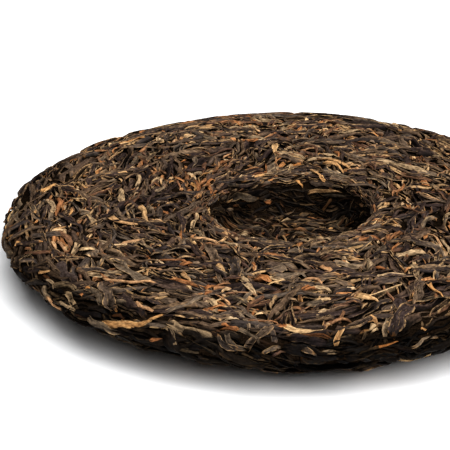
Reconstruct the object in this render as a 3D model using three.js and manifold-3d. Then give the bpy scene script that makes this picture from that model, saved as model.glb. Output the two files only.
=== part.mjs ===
// A disc of pressed raw pu-erh tea, lying on its domed face with the dimple up.
// Millimetres, +Z up. The origin is on the ground, under the middle of the disc.
// The disc is one solid: a pressed core with the larger tea leaves of its surface joined to it.
import * as THREE from "three";
import { mergeVertices } from "three/addons/utils/BufferGeometryUtils.js";
import Module from "manifold-3d";

const wasm = await Module();
wasm.setup();

// Driving dimensions
const DIAMETER = 200;
const HEIGHT = 24.5; // ground to the crown of the upper face
const RIM_HEIGHT = 15.5; // ground to the widest line of the disc
const REST_RADIUS = 42; // flat spot in the middle of the domed face
const MOUTH_RADIUS = 27; // dimple at its lip
const FLOOR_RADIUS = 22.5; // dimple at its floor
const DIMPLE_DEPTH = 13.2;

const RADIUS = DIAMETER / 2;
const LIP_ROUNDING = 2; // how far past the mouth the wall of the dimple still rises
const LIP_SAG = 2; // the upper face dips by this much towards the lip
const SAG_REACH = 14; // how far from the lip that dip is felt
const SHOULDER_RADIUS = 85; // where the upper face starts to turn down
const SHOULDER_POWERS = [5, 2.1]; // of the superellipse over the shoulder
const DOME_POWERS = [2, 1.5]; // of the superellipse under the rim

// The hand-pressed disc is a little out of round and out of level, and its dimple is off centre
const OUT_OF_ROUND = 0.6;
const OUT_OF_LEVEL = 0.45;
const DIMPLE_OFFSET = -1.2; // along X, fading out over the next stretch of radius
const OFFSET_FADE = [35, 75];
const OFFSET_DEPTH = 8; // height below which it fades out towards the resting spot

// The core, and the lumps that the small leaves make in it
const SECTORS = 40;
const RING_SPACINGS = [10, 5]; // on the broad faces, and where the section bends
const SHARP_TURN = 0.12; // radians over the wider spacing, from which the section counts as bent
const LUMP = 0.5;

// The leaves: a ridge between two edges that are sunk in the core
const EDGE_DEPTH = 0.9;
const SUNK_SHARE = 0.7; // the width that the sunk edges add, as a share of the width that shows
const TIP_SHARE = 0.35; // of the width that is left at the ends of a leaf
const LEAF_STEP = 8;
const GROUND_CLEARANCE = 0.2; // of every leaf on the domed face

// Leaves that stand out on the upper face, in millimetres on the face as if it were unrolled flat:
// [from x, from y, to x, to y, bow to the left of that line, width]
const PROMINENT_LEAVES = [
  [-87, 1, -84, -11, 1, 2.6],
  [-54.5, -7.5, -50, -17.5, 0.6, 2.4],
  [-72, -39, -65, -42.5, 0.3, 2.2],
  [-84, -50, -78, -52.5, -1.4, 2.2],
  [-78, -47.5, -69.5, -62, -0.8, 3.8],
  [-71, -53, -54, -60, -0.5, 3.2],
  [-58, -51, -45, -66, -1, 4.2],
  [-58, -38.5, -50.5, -35, 0.4, 1.8],
  [-24, -24, -26, -36, 3.2, 2.2],
  [-36, -58, -32, -66.5, -0.6, 1.8],
  [-24.5, -53, -21, -58.5, -0.5, 3],
  [-17, -63, -11, -72.5, 0.4, 2.6],
  [-19, -47, -18.5, -63, 0.6, 4.4],
  [-38, -83, -26, -72.5, -2.6, 1.8],
  [-26.5, -75, -23, -80.5, 0.3, 2.2],
  [-61, -61, -44, -67, -2.4, 1.6],
  [-61, -62.5, -54.5, -79.5, -0.8, 4],
  [-67, -65, -60.5, -76, 1.6, 2.6],
  [-55, -71, -48, -80.5, -0.6, 3.2],
  [-60, -82, -39, -82, -5.2, 2.6],
  [-49, -76.5, -43, -81.5, -0.4, 1.6],
  [-16, -80, -10, -92, 1.2, 2],
  [-38.5, -87, -23.5, -95, -0.6, 4],
  [-40, -89, -35, -98, 1.4, 1.8],
  [5, -66, -7, -87, -0.6, 3],
  [6.5, -67.5, 12.5, -70, 1, 2.4],
  [-2.5, -89, 12, -91, -2.6, 2.8],
  [8.5, -86.5, 12.5, -82, 0.4, 4],
  [20, -72, 28, -76, 0.8, 3],
  [17.5, -60.5, 42, -57, -1.2, 3.6],
  [33, -33, 50, -42, 4.2, 3.6],
  [35, -45, 46, -40, 0.6, 2.6],
  [23, -86, 27, -88.5, 0, 3.2],
  [14, -98.5, 18, -88.5, 1, 2],
  [29.5, -95, 31, -84.5, 1.2, 2.2],
  [31, -93, 38, -75.5, 0.8, 5],
  [14, -52.5, 25, -54.5, 0.8, 3],
  [44, -62.5, 48.5, -71.5, -0.4, 2],
  [-91, 8, -86, 17, -1, 2.4],
  [-57, 11, -57.5, 21, -1.4, 2.2],
  [9, 41.5, 23.5, 31, 3.4, 2.6],
  [31, 39.5, 50, 27, 2.2, 3],
  [7, 34, 12, 26.5, 0.6, 2.2],
  [19, 21.5, 32, 17.5, 0.8, 4],
  [-64, -16, -52, -21, -2.4, 3],
  [-8, 54, -6, 45, 0.4, 2.6],
];

// The other leaves are spread evenly by area. Each kind of place has its number and sizes, and how its
// leaves lie: heading 0 points outwards, 90 runs round the disc, and straying is the spread either way.
const SPREADS = [
  { face: "upper", from: 4, to: 25, count: 8, lengths: [9, 15], widths: [1.8, 2.8], heading: 60, straying: 90 },
  { face: "upper", from: 32, to: 86, count: 58, lengths: [12, 22], widths: [2.2, 3.6], heading: 90, straying: 90 },
  { face: "upper", from: 86, to: 108, count: 52, lengths: [13, 25], widths: [2.4, 4.2], heading: 80, straying: 42 },
  { face: "under", from: 58, to: 93, count: 40, lengths: [13, 25], widths: [2.6, 4.2], heading: 80, straying: 70 },
];
const RISES = [0.7, 1.25]; // how far the ridge of a leaf stands above the core
const BOW_SHARE = 0.14; // of the length, the most that a spread leaf bows to either side
const GOLDEN_ANGLE = Math.PI * (3 - Math.sqrt(5));

// Seeded random numbers from 0 to 1
function seededDraws(seed) {
  let state = seed >>> 0;
  return () => {
    state = (state + 0x6d2b79f5) >>> 0;
    let mixed = Math.imul(state ^ (state >>> 15), 1 | state);
    mixed = (mixed + Math.imul(mixed ^ (mixed >>> 7), 61 | mixed)) ^ mixed;
    return ((mixed ^ (mixed >>> 14)) >>> 0) / 2 ** 32;
  };
}

const between = ([low, high], share) => low + (high - low) * share;
const smoothStep = (share) => {
  const held = Math.min(Math.max(share, 0), 1);
  return held * held * (3 - 2 * held);
};

// Height of the upper face and the dimple at a radius
function upperHeight(radius) {
  const [across, down] = SHOULDER_POWERS;
  const shoulder = Math.max(1 - (radius / RADIUS) ** across, 0) ** (1 / down);
  const fromLip = Math.max(radius - MOUTH_RADIUS, 0) / SAG_REACH;
  const dip = LIP_SAG * Math.exp(-fromLip * fromLip);
  const wall = smoothStep((radius - FLOOR_RADIUS) / (MOUTH_RADIUS + LIP_ROUNDING - FLOOR_RADIUS));
  return RIM_HEIGHT + (HEIGHT - RIM_HEIGHT) * shoulder - dip - DIMPLE_DEPTH * (1 - wall);
}

// Radius and height of the half section, from the floor of the dimple over the rim to the resting spot
function halfSection() {
  const points = [];
  const faceSteps = 300;
  const turnSteps = 120;
  for (let i = 0; i <= faceSteps; i++) {
    const radius = (SHOULDER_RADIUS * i) / faceSteps;
    points.push([radius, upperHeight(radius)]);
  }
  const start = Math.asin((SHOULDER_RADIUS / RADIUS) ** (SHOULDER_POWERS[0] / 2));
  for (let i = 1; i <= turnSteps; i++) {
    const angle = start + ((Math.PI / 2 - start) * i) / turnSteps;
    const radius = RADIUS * Math.sin(angle) ** (2 / SHOULDER_POWERS[0]);
    points.push([radius, upperHeight(radius)]);
  }
  for (let i = turnSteps - 1; i >= 0; i--) {
    const angle = ((Math.PI / 2) * i) / turnSteps;
    const radius = REST_RADIUS + (RADIUS - REST_RADIUS) * Math.sin(angle) ** (2 / DOME_POWERS[0]);
    points.push([radius, RIM_HEIGHT * (1 - Math.cos(angle) ** (2 / DOME_POWERS[1]))]);
  }
  points.push([0, 0]);
  return points;
}

// The half section measured along its own length
function measured(points) {
  const along = [0];
  for (let i = 1; i < points.length; i++) {
    const [radius, height] = points[i];
    along.push(along[i - 1] + Math.hypot(radius - points[i - 1][0], height - points[i - 1][1]));
  }
  return { points, along, length: along[along.length - 1] };
}

const section = measured(halfSection());
const mouthAlong = section.along[section.points.findIndex(([radius]) => radius >= MOUTH_RADIUS)];

// Radius, height and outward normal of the section at a length along it
function sectionAt(length) {
  const { points, along } = section;
  const held = Math.min(Math.max(length, 0), section.length - 1e-6);
  let low = 0;
  let high = along.length - 1;
  while (high - low > 1) {
    const middle = (low + high) >> 1;
    if (along[middle] <= held) low = middle;
    else high = middle;
  }
  const span = along[high] - along[low];
  const share = (held - along[low]) / span;
  const outwards = (points[high][0] - points[low][0]) / span;
  const upwards = (points[high][1] - points[low][1]) / span;
  return {
    radius: points[low][0] + outwards * share * span,
    height: points[low][1] + upwards * share * span,
    normal: [-upwards, outwards],
  };
}

// A reach is the radius on the flattened face. On the upper face it counts from the middle of the
// dimple, and past the shoulder it goes on down over the rim. On the domed face it counts from below.
function alongOf(face, reach) {
  if (face === "under") return section.length - reach;
  if (reach < MOUTH_RADIUS) return (reach * mouthAlong) / MOUTH_RADIUS;
  return reach + mouthAlong - MOUTH_RADIUS;
}

// The slow waves of a disc that was pressed by hand
function waved(point) {
  const bearing = Math.atan2(point.y, point.x);
  const radius = Math.hypot(point.x, point.y);
  const wide = radius / RADIUS;
  const high = Math.max(point.z, 0) / HEIGHT;
  const round = OUT_OF_ROUND * wide * (Math.sin(2 * bearing + 0.6) + 0.7 * Math.sin(4 * bearing + 2.1));
  const level = OUT_OF_LEVEL * wide * high * (Math.sin(2 * bearing + 4) + 0.6 * Math.sin(5 * bearing));
  const faded = 1 - smoothStep((radius - OFFSET_FADE[0]) / (OFFSET_FADE[1] - OFFSET_FADE[0]));
  const aside = DIMPLE_OFFSET * faded * smoothStep(point.z / OFFSET_DEPTH);
  return point.set(
    (radius + round) * Math.cos(bearing) + aside,
    (radius + round) * Math.sin(bearing),
    point.z + level,
  );
}

// The place of a spot on a flattened face, raised by so much from the surface
function placeOn(face, x, y, raised) {
  const at = sectionAt(alongOf(face, Math.hypot(x, y)));
  const bearing = face === "under" ? -Math.atan2(y, x) : Math.atan2(y, x);
  const radius = at.radius + raised * at.normal[0];
  const point = new THREE.Vector3(
    radius * Math.cos(bearing),
    radius * Math.sin(bearing),
    at.height + raised * at.normal[1],
  );
  return waved(point);
}

// A closed geometry as a solid: its corners merged, and the flat faces of a lathe's poles left out
function solidOf(geometry) {
  const bare = geometry.clone();
  bare.deleteAttribute("uv");
  bare.deleteAttribute("normal");
  const merged = mergeVertices(bare, 1e-3);
  const corners = merged.index.array;
  const kept = [];
  for (let i = 0; i < corners.length; i += 3) {
    const [a, b, c] = [corners[i], corners[i + 1], corners[i + 2]];
    if (a !== b && b !== c && c !== a) kept.push(a, b, c);
  }
  return new wasm.Manifold(
    new wasm.Mesh({
      numProp: 3,
      vertProperties: new Float32Array(merged.attributes.position.array),
      triVerts: new Uint32Array(kept),
    }),
  );
}

function geometryOf(solid) {
  const { vertProperties, triVerts } = solid.getMesh();
  const geometry = new THREE.BufferGeometry();
  geometry.setAttribute("position", new THREE.BufferAttribute(new Float32Array(vertProperties), 3));
  geometry.setIndex(new THREE.BufferAttribute(new Uint32Array(triVerts), 1));
  geometry.computeVertexNormals();
  return geometry;
}

// Lengths along the section at which the core has a ring of corners, closer where the section bends
function ringLengths() {
  const lengths = [0];
  const restAlong = section.length - REST_RADIUS;
  let at = 0;
  while (at < restAlong - RING_SPACINGS[1]) {
    const { normal } = sectionAt(at);
    const { normal: next } = sectionAt(at + RING_SPACINGS[0]);
    const turn = Math.acos(Math.min(normal[0] * next[0] + normal[1] * next[1], 1));
    at += turn > SHARP_TURN ? RING_SPACINGS[1] : RING_SPACINGS[0];
    lengths.push(Math.min(at, restAlong));
  }
  lengths.push(restAlong, section.length);
  return lengths;
}

// The pressed core, lumpy everywhere but on its resting spot
function pressedCore() {
  const draw = seededDraws(7);
  const profile = ringLengths().map((length) => {
    const { radius, height } = sectionAt(length);
    return new THREE.Vector2(radius, height);
  });
  profile[profile.length - 1].x = 0;
  const lathe = new THREE.LatheGeometry(profile.reverse(), SECTORS).rotateX(Math.PI / 2);
  lathe.deleteAttribute("uv");
  lathe.deleteAttribute("normal");
  const core = mergeVertices(lathe, 1e-3);
  const corners = core.attributes.position;
  const corner = new THREE.Vector3();
  for (let i = 0; i < corners.count; i++) {
    corner.fromBufferAttribute(corners, i);
    const lump = LUMP * (2 * draw() - 1);
    const onRest = corner.z < 0.01;
    const inMiddle = Math.hypot(corner.x, corner.y) < 1;
    waved(corner);
    if (!onRest && !inMiddle) corner.z = Math.max(corner.z + lump, 0.3);
    corners.setXYZ(i, corner.x, corner.y, corner.z);
  }
  return solidOf(core);
}

// A leaf: a ridged strip that follows its bowed line over the surface, with its edges sunk in the core
function leafSolid({ face, from, to, bow, width, rise, lean }) {
  const length = Math.hypot(to[0] - from[0], to[1] - from[1]);
  const steps = Math.max(2, Math.round(length / LEAF_STEP));
  const blank = new THREE.CylinderGeometry(1, 1, 1, 3, steps);
  const corners = blank.attributes.position;
  const along = [(to[0] - from[0]) / length, (to[1] - from[1]) / length];
  const halfWidth = (width * (1 + SUNK_SHARE)) / 2;
  const corner = new THREE.Vector3();
  for (let i = 0; i < corners.count; i++) {
    corner.fromBufferAttribute(corners, i);
    const share = corner.y + 0.5;
    const swell = Math.sin(Math.PI * share);
    const fullness = TIP_SHARE + (1 - TIP_SHARE) * swell ** 0.7;
    const onRidge = corner.z > 0.5;
    const side = onRidge ? 0.4 * lean * Math.cos(2 * Math.PI * share) : Math.sign(corner.x);
    const across = halfWidth * fullness * side;
    const raised = onRidge ? (rise + EDGE_DEPTH / 2) * fullness - EDGE_DEPTH / 2 : -EDGE_DEPTH;
    const slope = (Math.PI * bow * Math.cos(Math.PI * share)) / length;
    const turned = Math.hypot(1, slope);
    const heading = [(along[0] - along[1] * slope) / turned, (along[1] + along[0] * slope) / turned];
    const x = from[0] + along[0] * length * share - along[1] * bow * swell + heading[1] * across;
    const y = from[1] + along[1] * length * share + along[0] * bow * swell - heading[0] * across;
    const placed = placeOn(face, x, y, raised);
    corners.setXYZ(i, placed.x, placed.y, Math.max(placed.z, GROUND_CLEARANCE));
  }
  return solidOf(blank);
}

function prominentLeaves() {
  const draw = seededDraws(11);
  return PROMINENT_LEAVES.map(([x, y, toX, toY, bow, width]) => ({
    face: "upper",
    from: [x, y],
    to: [toX, toY],
    bow,
    width,
    rise: between(RISES, 0.4 + 0.6 * draw()),
    lean: 2 * draw() - 1,
  }));
}

// Leaves spread over a ring of a face by turning one golden angle from each to the next
function spreadLeaves({ face, from, to, count, lengths, widths, heading, straying }, seed) {
  const draw = seededDraws(seed);
  const leaves = [];
  for (let i = 0; i < count; i++) {
    const share = (i + 0.3 + 0.4 * draw()) / count;
    const reach = Math.sqrt(from * from + (to * to - from * from) * share);
    const bearing = GOLDEN_ANGLE * i + 0.3 * (draw() - 0.5);
    const length = between(lengths, draw() ** 1.4);
    const width = between(widths, draw());
    const direction = bearing + THREE.MathUtils.degToRad(heading + straying * (2 * draw() - 1));
    const middle = [reach * Math.cos(bearing), reach * Math.sin(bearing)];
    const half = [(Math.cos(direction) * length) / 2, (Math.sin(direction) * length) / 2];
    leaves.push({
      face,
      from: [middle[0] - half[0], middle[1] - half[1]],
      to: [middle[0] + half[0], middle[1] + half[1]],
      bow: BOW_SHARE * length * (2 * draw() - 1),
      width,
      rise: between(RISES, draw()),
      lean: 2 * draw() - 1,
    });
  }
  return leaves;
}

// The outermost shell alone: pockets that the leaves close off are filled, and loose scraps dropped
function outermostShell(solid) {
  return solid.decompose().reduce((kept, shell) => (shell.volume() > kept.volume() ? shell : kept));
}

function pressedDisc() {
  const leaves = [...prominentLeaves(), ...SPREADS.flatMap((spread, i) => spreadLeaves(spread, 100 + i))];
  return outermostShell(leaves.reduce((disc, leaf) => disc.add(leafSolid(leaf)), pressedCore()));
}

const teaMaterial = new THREE.MeshStandardMaterial({ color: 0x4a3a2a, roughness: 0.72, metalness: 0 });
teaMaterial.name = "pressed_tea";

const teaCake = new THREE.Mesh(geometryOf(pressedDisc()), teaMaterial);
teaCake.name = "tea_cake";

const part = new THREE.Group();
part.add(teaCake);

export default part;
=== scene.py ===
"""A disc of pressed raw tea, dressed for rendering.

The disc lies on its domed face with the dimple up. Its own sizes are in millimetres, and a mesh is turned
into metres when it is made. Each face of the disc has a flat chart: X and Y on it are millimetres along the
surface, counted from the middle of that face, so a leaf keeps its true size wherever it lies.
"""

import logging
import math
from dataclasses import dataclass, field, replace
from enum import Enum
from typing import Sequence

import bpy
import numpy as np
from mathutils import Matrix, Vector


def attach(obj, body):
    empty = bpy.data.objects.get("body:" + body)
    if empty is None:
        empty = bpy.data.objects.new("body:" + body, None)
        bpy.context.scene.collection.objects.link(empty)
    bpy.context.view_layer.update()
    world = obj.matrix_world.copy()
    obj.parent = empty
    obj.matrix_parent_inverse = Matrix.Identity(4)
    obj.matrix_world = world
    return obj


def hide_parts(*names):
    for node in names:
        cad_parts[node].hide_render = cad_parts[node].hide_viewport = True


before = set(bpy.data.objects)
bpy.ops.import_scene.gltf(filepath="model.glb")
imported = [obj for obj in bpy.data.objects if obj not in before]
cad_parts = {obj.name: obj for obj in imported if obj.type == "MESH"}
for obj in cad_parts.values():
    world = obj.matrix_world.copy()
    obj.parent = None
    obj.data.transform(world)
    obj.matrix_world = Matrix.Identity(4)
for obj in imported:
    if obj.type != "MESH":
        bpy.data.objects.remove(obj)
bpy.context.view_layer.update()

METRES = 0.001  # in a millimetre
CORNERS = 10  # round the section of every leaf
RIB_HEIGHT = 0.0006  # of the fine ribs of a leaf, in metres

log = logging.getLogger("tea_cake")


class Face(Enum):
    """The two faces of the disc, each with its own flat chart."""

    UPPER = 1
    UNDER = -1

    @property
    def other(self) -> "Face":
        """Return the face on the other side."""
        return Face(-self.value)


class Section(Enum):
    """How a leaf is closed up across its width."""

    ROLLED = "rolled"
    CURLED = "curled"
    PLEATED = "pleated"
    FLAT = "flat"


def smooth_step(share: np.ndarray) -> np.ndarray:
    """Return a share from 0 to 1 with level ends."""
    held = np.clip(share, 0.0, 1.0)
    return held * held * (3.0 - 2.0 * held)


def setting_in(reach: np.ndarray, start: float, span: float) -> np.ndarray:
    """Return a share that is 0 up to a reach and grows to 1 over a span beyond it."""
    return smooth_step((reach - start) / span)


def linear_colour(red: int, green: int, blue: int) -> tuple[float, float, float, float]:
    """Turn a colour as seen on a screen into the linear colour of a shader.

    Args:
        red: Red from 0 to 255.
        green: Green from 0 to 255.
        blue: Blue from 0 to 255.

    Returns:
        The linear colour with full opacity.
    """
    shares = (value / 255.0 for value in (red, green, blue))
    linear = [s / 12.92 if s <= 0.04045 else ((s + 0.055) / 1.055) ** 2.4 for s in shares]
    return (linear[0], linear[1], linear[2], 1.0)


class SmoothNoise:
    """Seeded noise from -1 to 1 that changes gently over a plane."""

    def __init__(self, seed: int, size: int = 64) -> None:
        """Draw the lattice of values that the noise runs between.

        Args:
            seed: Seed of the draw.
            size: Steps after which the noise repeats.
        """
        self.size = size
        self.values = np.random.default_rng(seed).uniform(-1.0, 1.0, (size, size))

    def at(self, x: np.ndarray, y: np.ndarray) -> np.ndarray:
        """Read the noise.

        Args:
            x: First coordinate, one lattice step to a unit.
            y: Second coordinate.

        Returns:
            The noise at each place.
        """
        column, row = np.floor(x).astype(int), np.floor(y).astype(int)
        across, down = smooth_step(x - column), smooth_step(y - row)
        left, right = column % self.size, (column + 1) % self.size
        top, bottom = row % self.size, (row + 1) % self.size
        upper = self.values[left, top] * (1 - across) + self.values[right, top] * across
        lower = self.values[left, bottom] * (1 - across) + self.values[right, bottom] * across
        return upper * (1 - down) + lower * down


@dataclass(frozen=True)
class Wave:
    """A slow wave round the disc: its turns, its share of the whole and where it starts, in radians."""

    turns: int
    share: float
    start: float

    def at(self, bearing: np.ndarray) -> np.ndarray:
        """Return the height of the wave at bearings in radians."""
        return self.share * np.sin(self.turns * bearing + self.start)


@dataclass(frozen=True)
class DiscForm:
    """The sizes of the disc, in millimetres."""

    radius: float = 100.0
    height: float = 24.5
    rim_height: float = 15.5
    rest_radius: float = 42.0
    mouth_radius: float = 27.0
    floor_radius: float = 22.5
    dimple_depth: float = 13.2
    lip_rounding: float = 2.0
    lip_sag: float = 2.0
    sag_reach: float = 14.0
    shoulder_radius: float = 85.0
    shoulder_powers: tuple[float, float] = (5.0, 2.1)
    dome_powers: tuple[float, float] = (2.0, 1.5)
    out_of_round: float = 0.6
    round_waves: tuple[Wave, ...] = (Wave(2, 1.0, 0.6), Wave(4, 0.7, 2.1))
    out_of_level: float = 0.45
    level_waves: tuple[Wave, ...] = (Wave(2, 1.0, 4.0), Wave(5, 0.6, 0.0))
    dimple_offset: float = -1.2
    offset_fade: tuple[float, float] = (35.0, 75.0)
    offset_depth: float = 8.0


class DiscSurface:
    """The smooth surface of the disc, and the flat chart of each of its faces."""

    FACE_POINTS = 301  # of the half section, from the middle to the shoulder
    CURVE_POINTS = 121  # over the shoulder, and again under the rim

    def __init__(self, form: DiscForm) -> None:
        """Measure the half section of the disc along its own length.

        Args:
            form: The sizes of the disc.
        """
        self.form = form
        self.radii, self.heights = self._half_section()
        steps = np.hypot(np.diff(self.radii), np.diff(self.heights))
        self.lengths = np.concatenate([[0.0], np.cumsum(steps)])
        self.length = float(self.lengths[-1])
        upper = slice(self.FACE_POINTS)
        self.mouth_along = float(np.interp(form.mouth_radius, self.radii[upper], self.lengths[upper]))
        outwards = np.gradient(self.radii, self.lengths)
        upwards = np.gradient(self.heights, self.lengths)
        self.normals = np.stack([-upwards, outwards], 1)
        self.normals /= np.linalg.norm(self.normals, axis=1)[:, None]

    def _upper_height(self, radius: np.ndarray) -> np.ndarray:
        """Work out the height of the upper face and the dimple.

        Args:
            radius: Distances from the axis of the disc.

        Returns:
            The height at each of them.
        """
        form = self.form
        across, down = form.shoulder_powers
        shoulder = np.clip(1 - (radius / form.radius) ** across, 0, None) ** (1 / down)
        from_lip = np.clip(radius - form.mouth_radius, 0, None) / form.sag_reach
        wall_width = form.mouth_radius + form.lip_rounding - form.floor_radius
        wall = smooth_step((radius - form.floor_radius) / wall_width)
        crown = form.rim_height + (form.height - form.rim_height) * shoulder
        return crown - form.lip_sag * np.exp(-(from_lip**2)) - form.dimple_depth * (1 - wall)

    def _half_section(self) -> tuple[np.ndarray, np.ndarray]:
        """Work out the half section, from the dimple's middle over the rim to the resting spot's middle.

        Returns:
            The radii and the heights of its points.
        """
        form = self.form
        face = np.linspace(0, form.shoulder_radius, self.FACE_POINTS)
        start = math.asin((form.shoulder_radius / form.radius) ** (form.shoulder_powers[0] / 2))
        turned = np.linspace(start, math.pi / 2, self.CURVE_POINTS)[1:]
        shoulder = form.radius * np.sin(turned) ** (2 / form.shoulder_powers[0])
        upper = np.concatenate([face, shoulder])
        under_angle = np.linspace(math.pi / 2, 0, self.CURVE_POINTS)[1:]
        spread = form.radius - form.rest_radius
        under = form.rest_radius + spread * np.sin(under_angle) ** (2 / form.dome_powers[0])
        rise = form.rim_height * (1 - np.cos(under_angle) ** (2 / form.dome_powers[1]))
        radii = np.concatenate([upper, under, [0.0]])
        return radii, np.concatenate([self._upper_height(upper), rise, [0.0]])

    def along(self, face: Face, reach: np.ndarray) -> np.ndarray:
        """Turn a distance from the middle of a chart into a length along the section.

        Args:
            face: The chart.
            reach: Distances from its middle.

        Returns:
            Lengths along the section.
        """
        if face is Face.UNDER:
            return self.length - reach
        mouth = self.form.mouth_radius
        inside = reach * self.mouth_along / mouth
        return np.where(reach < mouth, inside, reach + self.mouth_along - mouth)

    def reach(self, face: Face, along: np.ndarray) -> np.ndarray:
        """Turn a length along the section into a distance from the middle of a chart.

        Args:
            face: The chart.
            along: Lengths along the section.

        Returns:
            Distances from the middle of the chart.
        """
        if face is Face.UNDER:
            return self.length - along
        mouth = self.form.mouth_radius
        inside = along * mouth / self.mouth_along
        return np.where(along < self.mouth_along, inside, along - self.mouth_along + mouth)

    def to_other_chart(self, face: Face, x: np.ndarray, y: np.ndarray) -> tuple[np.ndarray, np.ndarray]:
        """Find places on the chart of the other face.

        Args:
            face: The chart that they are given on.
            x: First coordinates on it.
            y: Second coordinates on it.

        Returns:
            The first and second coordinates of the same places on the other chart.
        """
        reach = self.reach(face.other, self.along(face, np.hypot(x, y)))
        bearing = -np.arctan2(y, x)
        return reach * np.cos(bearing), reach * np.sin(bearing)

    def section_at(self, along: np.ndarray) -> tuple[np.ndarray, np.ndarray, np.ndarray]:
        """Read the section at lengths along it.

        Args:
            along: Lengths along the section.

        Returns:
            The radius, the height and the outward normal at each length.
        """
        radius = np.interp(along, self.lengths, self.radii)
        height = np.interp(along, self.lengths, self.heights)
        normal = np.stack([np.interp(along, self.lengths, n) for n in self.normals.T], -1)
        return radius, height, normal

    def waved(self, points: np.ndarray) -> np.ndarray:
        """Give points the slow waves of a disc that was pressed by hand.

        Args:
            points: Points of the smooth disc, in millimetres.

        Returns:
            The points, moved in or out and up or down, with the dimple a little aside.
        """
        form = self.form
        bearing = np.arctan2(points[..., 1], points[..., 0])
        radius = np.hypot(points[..., 0], points[..., 1])
        wide = radius / form.radius
        high = np.clip(points[..., 2], 0, None) / form.height
        rounding = sum(wave.at(bearing) for wave in form.round_waves)
        radius = radius + form.out_of_round * wide * rounding
        levelling = sum(wave.at(bearing) for wave in form.level_waves)
        level = form.out_of_level * wide * high * levelling
        near, far = form.offset_fade
        faded = 1 - smooth_step((wide * form.radius - near) / (far - near))
        aside = form.dimple_offset * faded * smooth_step(points[..., 2] / form.offset_depth)
        x = radius * np.cos(bearing) + aside
        return np.stack([x, radius * np.sin(bearing), points[..., 2] + level], -1)

    def place(self, face: Face, x: np.ndarray, y: np.ndarray, raised: np.ndarray) -> np.ndarray:
        """Return the points of places on a chart, raised from the surface.

        Args:
            face: The chart.
            x: First coordinates on it.
            y: Second coordinates on it.
            raised: Distances from the smooth surface, outwards.

        Returns:
            One point to a row, in millimetres.
        """
        bearing = np.arctan2(y, x) * face.value
        radius, height, normal = self.section_at(self.along(face, np.hypot(x, y)))
        radius = radius + raised * normal[..., 0]
        height = height + raised * normal[..., 1]
        return self.waved(np.stack([radius * np.cos(bearing), radius * np.sin(bearing), height], -1))


@dataclass(frozen=True)
class Taper:
    """How a leaf narrows to its ends: the share of its length that narrows, and how wide each end is left."""

    start: tuple[float, float]
    end: tuple[float, float]
    start_width: tuple[float, float]
    end_width: tuple[float, float]
    necks: float

    def widths(self, share: np.ndarray, draw: np.random.Generator) -> np.ndarray:
        """Draw the width of a leaf along its length, as a share of its greatest width.

        Args:
            share: Places along the leaf, from 0 to 1.
            draw: Source of the random draws.

        Returns:
            The width at each place.
        """
        first = draw.uniform(*self.start_width)
        last = draw.uniform(*self.end_width)
        opening = np.clip(share / draw.uniform(*self.start), 0, 1) ** draw.uniform(0.6, 1.0)
        closing = np.clip((1 - share) / draw.uniform(*self.end), 0, 1) ** draw.uniform(0.6, 1.0)
        waves = np.cos(2 * math.pi * (share * draw.uniform(1.2, 2.6) + draw.random()))
        necked = 1 - self.necks * (0.5 + 0.5 * waves)
        return (first + (1 - first) * opening) * (last + (1 - last) * closing) * necked


WISP = Taper((0.15, 0.45), (0.2, 0.5), (0.25, 0.5), (0.15, 0.4), 0.28)
BUD_TIP = Taper((0.08, 0.2), (0.45, 0.75), (0.3, 0.6), (0.08, 0.2), 0.15)
TORN_OFF = Taper((0.04, 0.16), (0.04, 0.2), (0.4, 0.75), (0.35, 0.7), 0.3)
SNAPPED = Taper((0.03, 0.08), (0.03, 0.3), (0.7, 0.9), (0.4, 0.9), 0.15)


@dataclass(frozen=True)
class LeafKind:
    """A kind of leaf: its name, its finish, and the ranges that its sizes are drawn from."""

    name: str
    slot: str
    section: Section
    taper: Taper
    lengths: tuple[float, float]
    widths: tuple[float, float]
    thickness: tuple[float, float]  # as a share of the width
    twist: float  # the most that it rolls over from end to end, in radians
    tilt: float  # how far it lies on its side, in radians
    turn: float  # the most that it bends in its own plane, in radians
    raggedness: float
    pair_share: float = 0.0  # how many of them have a strand beside them


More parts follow.
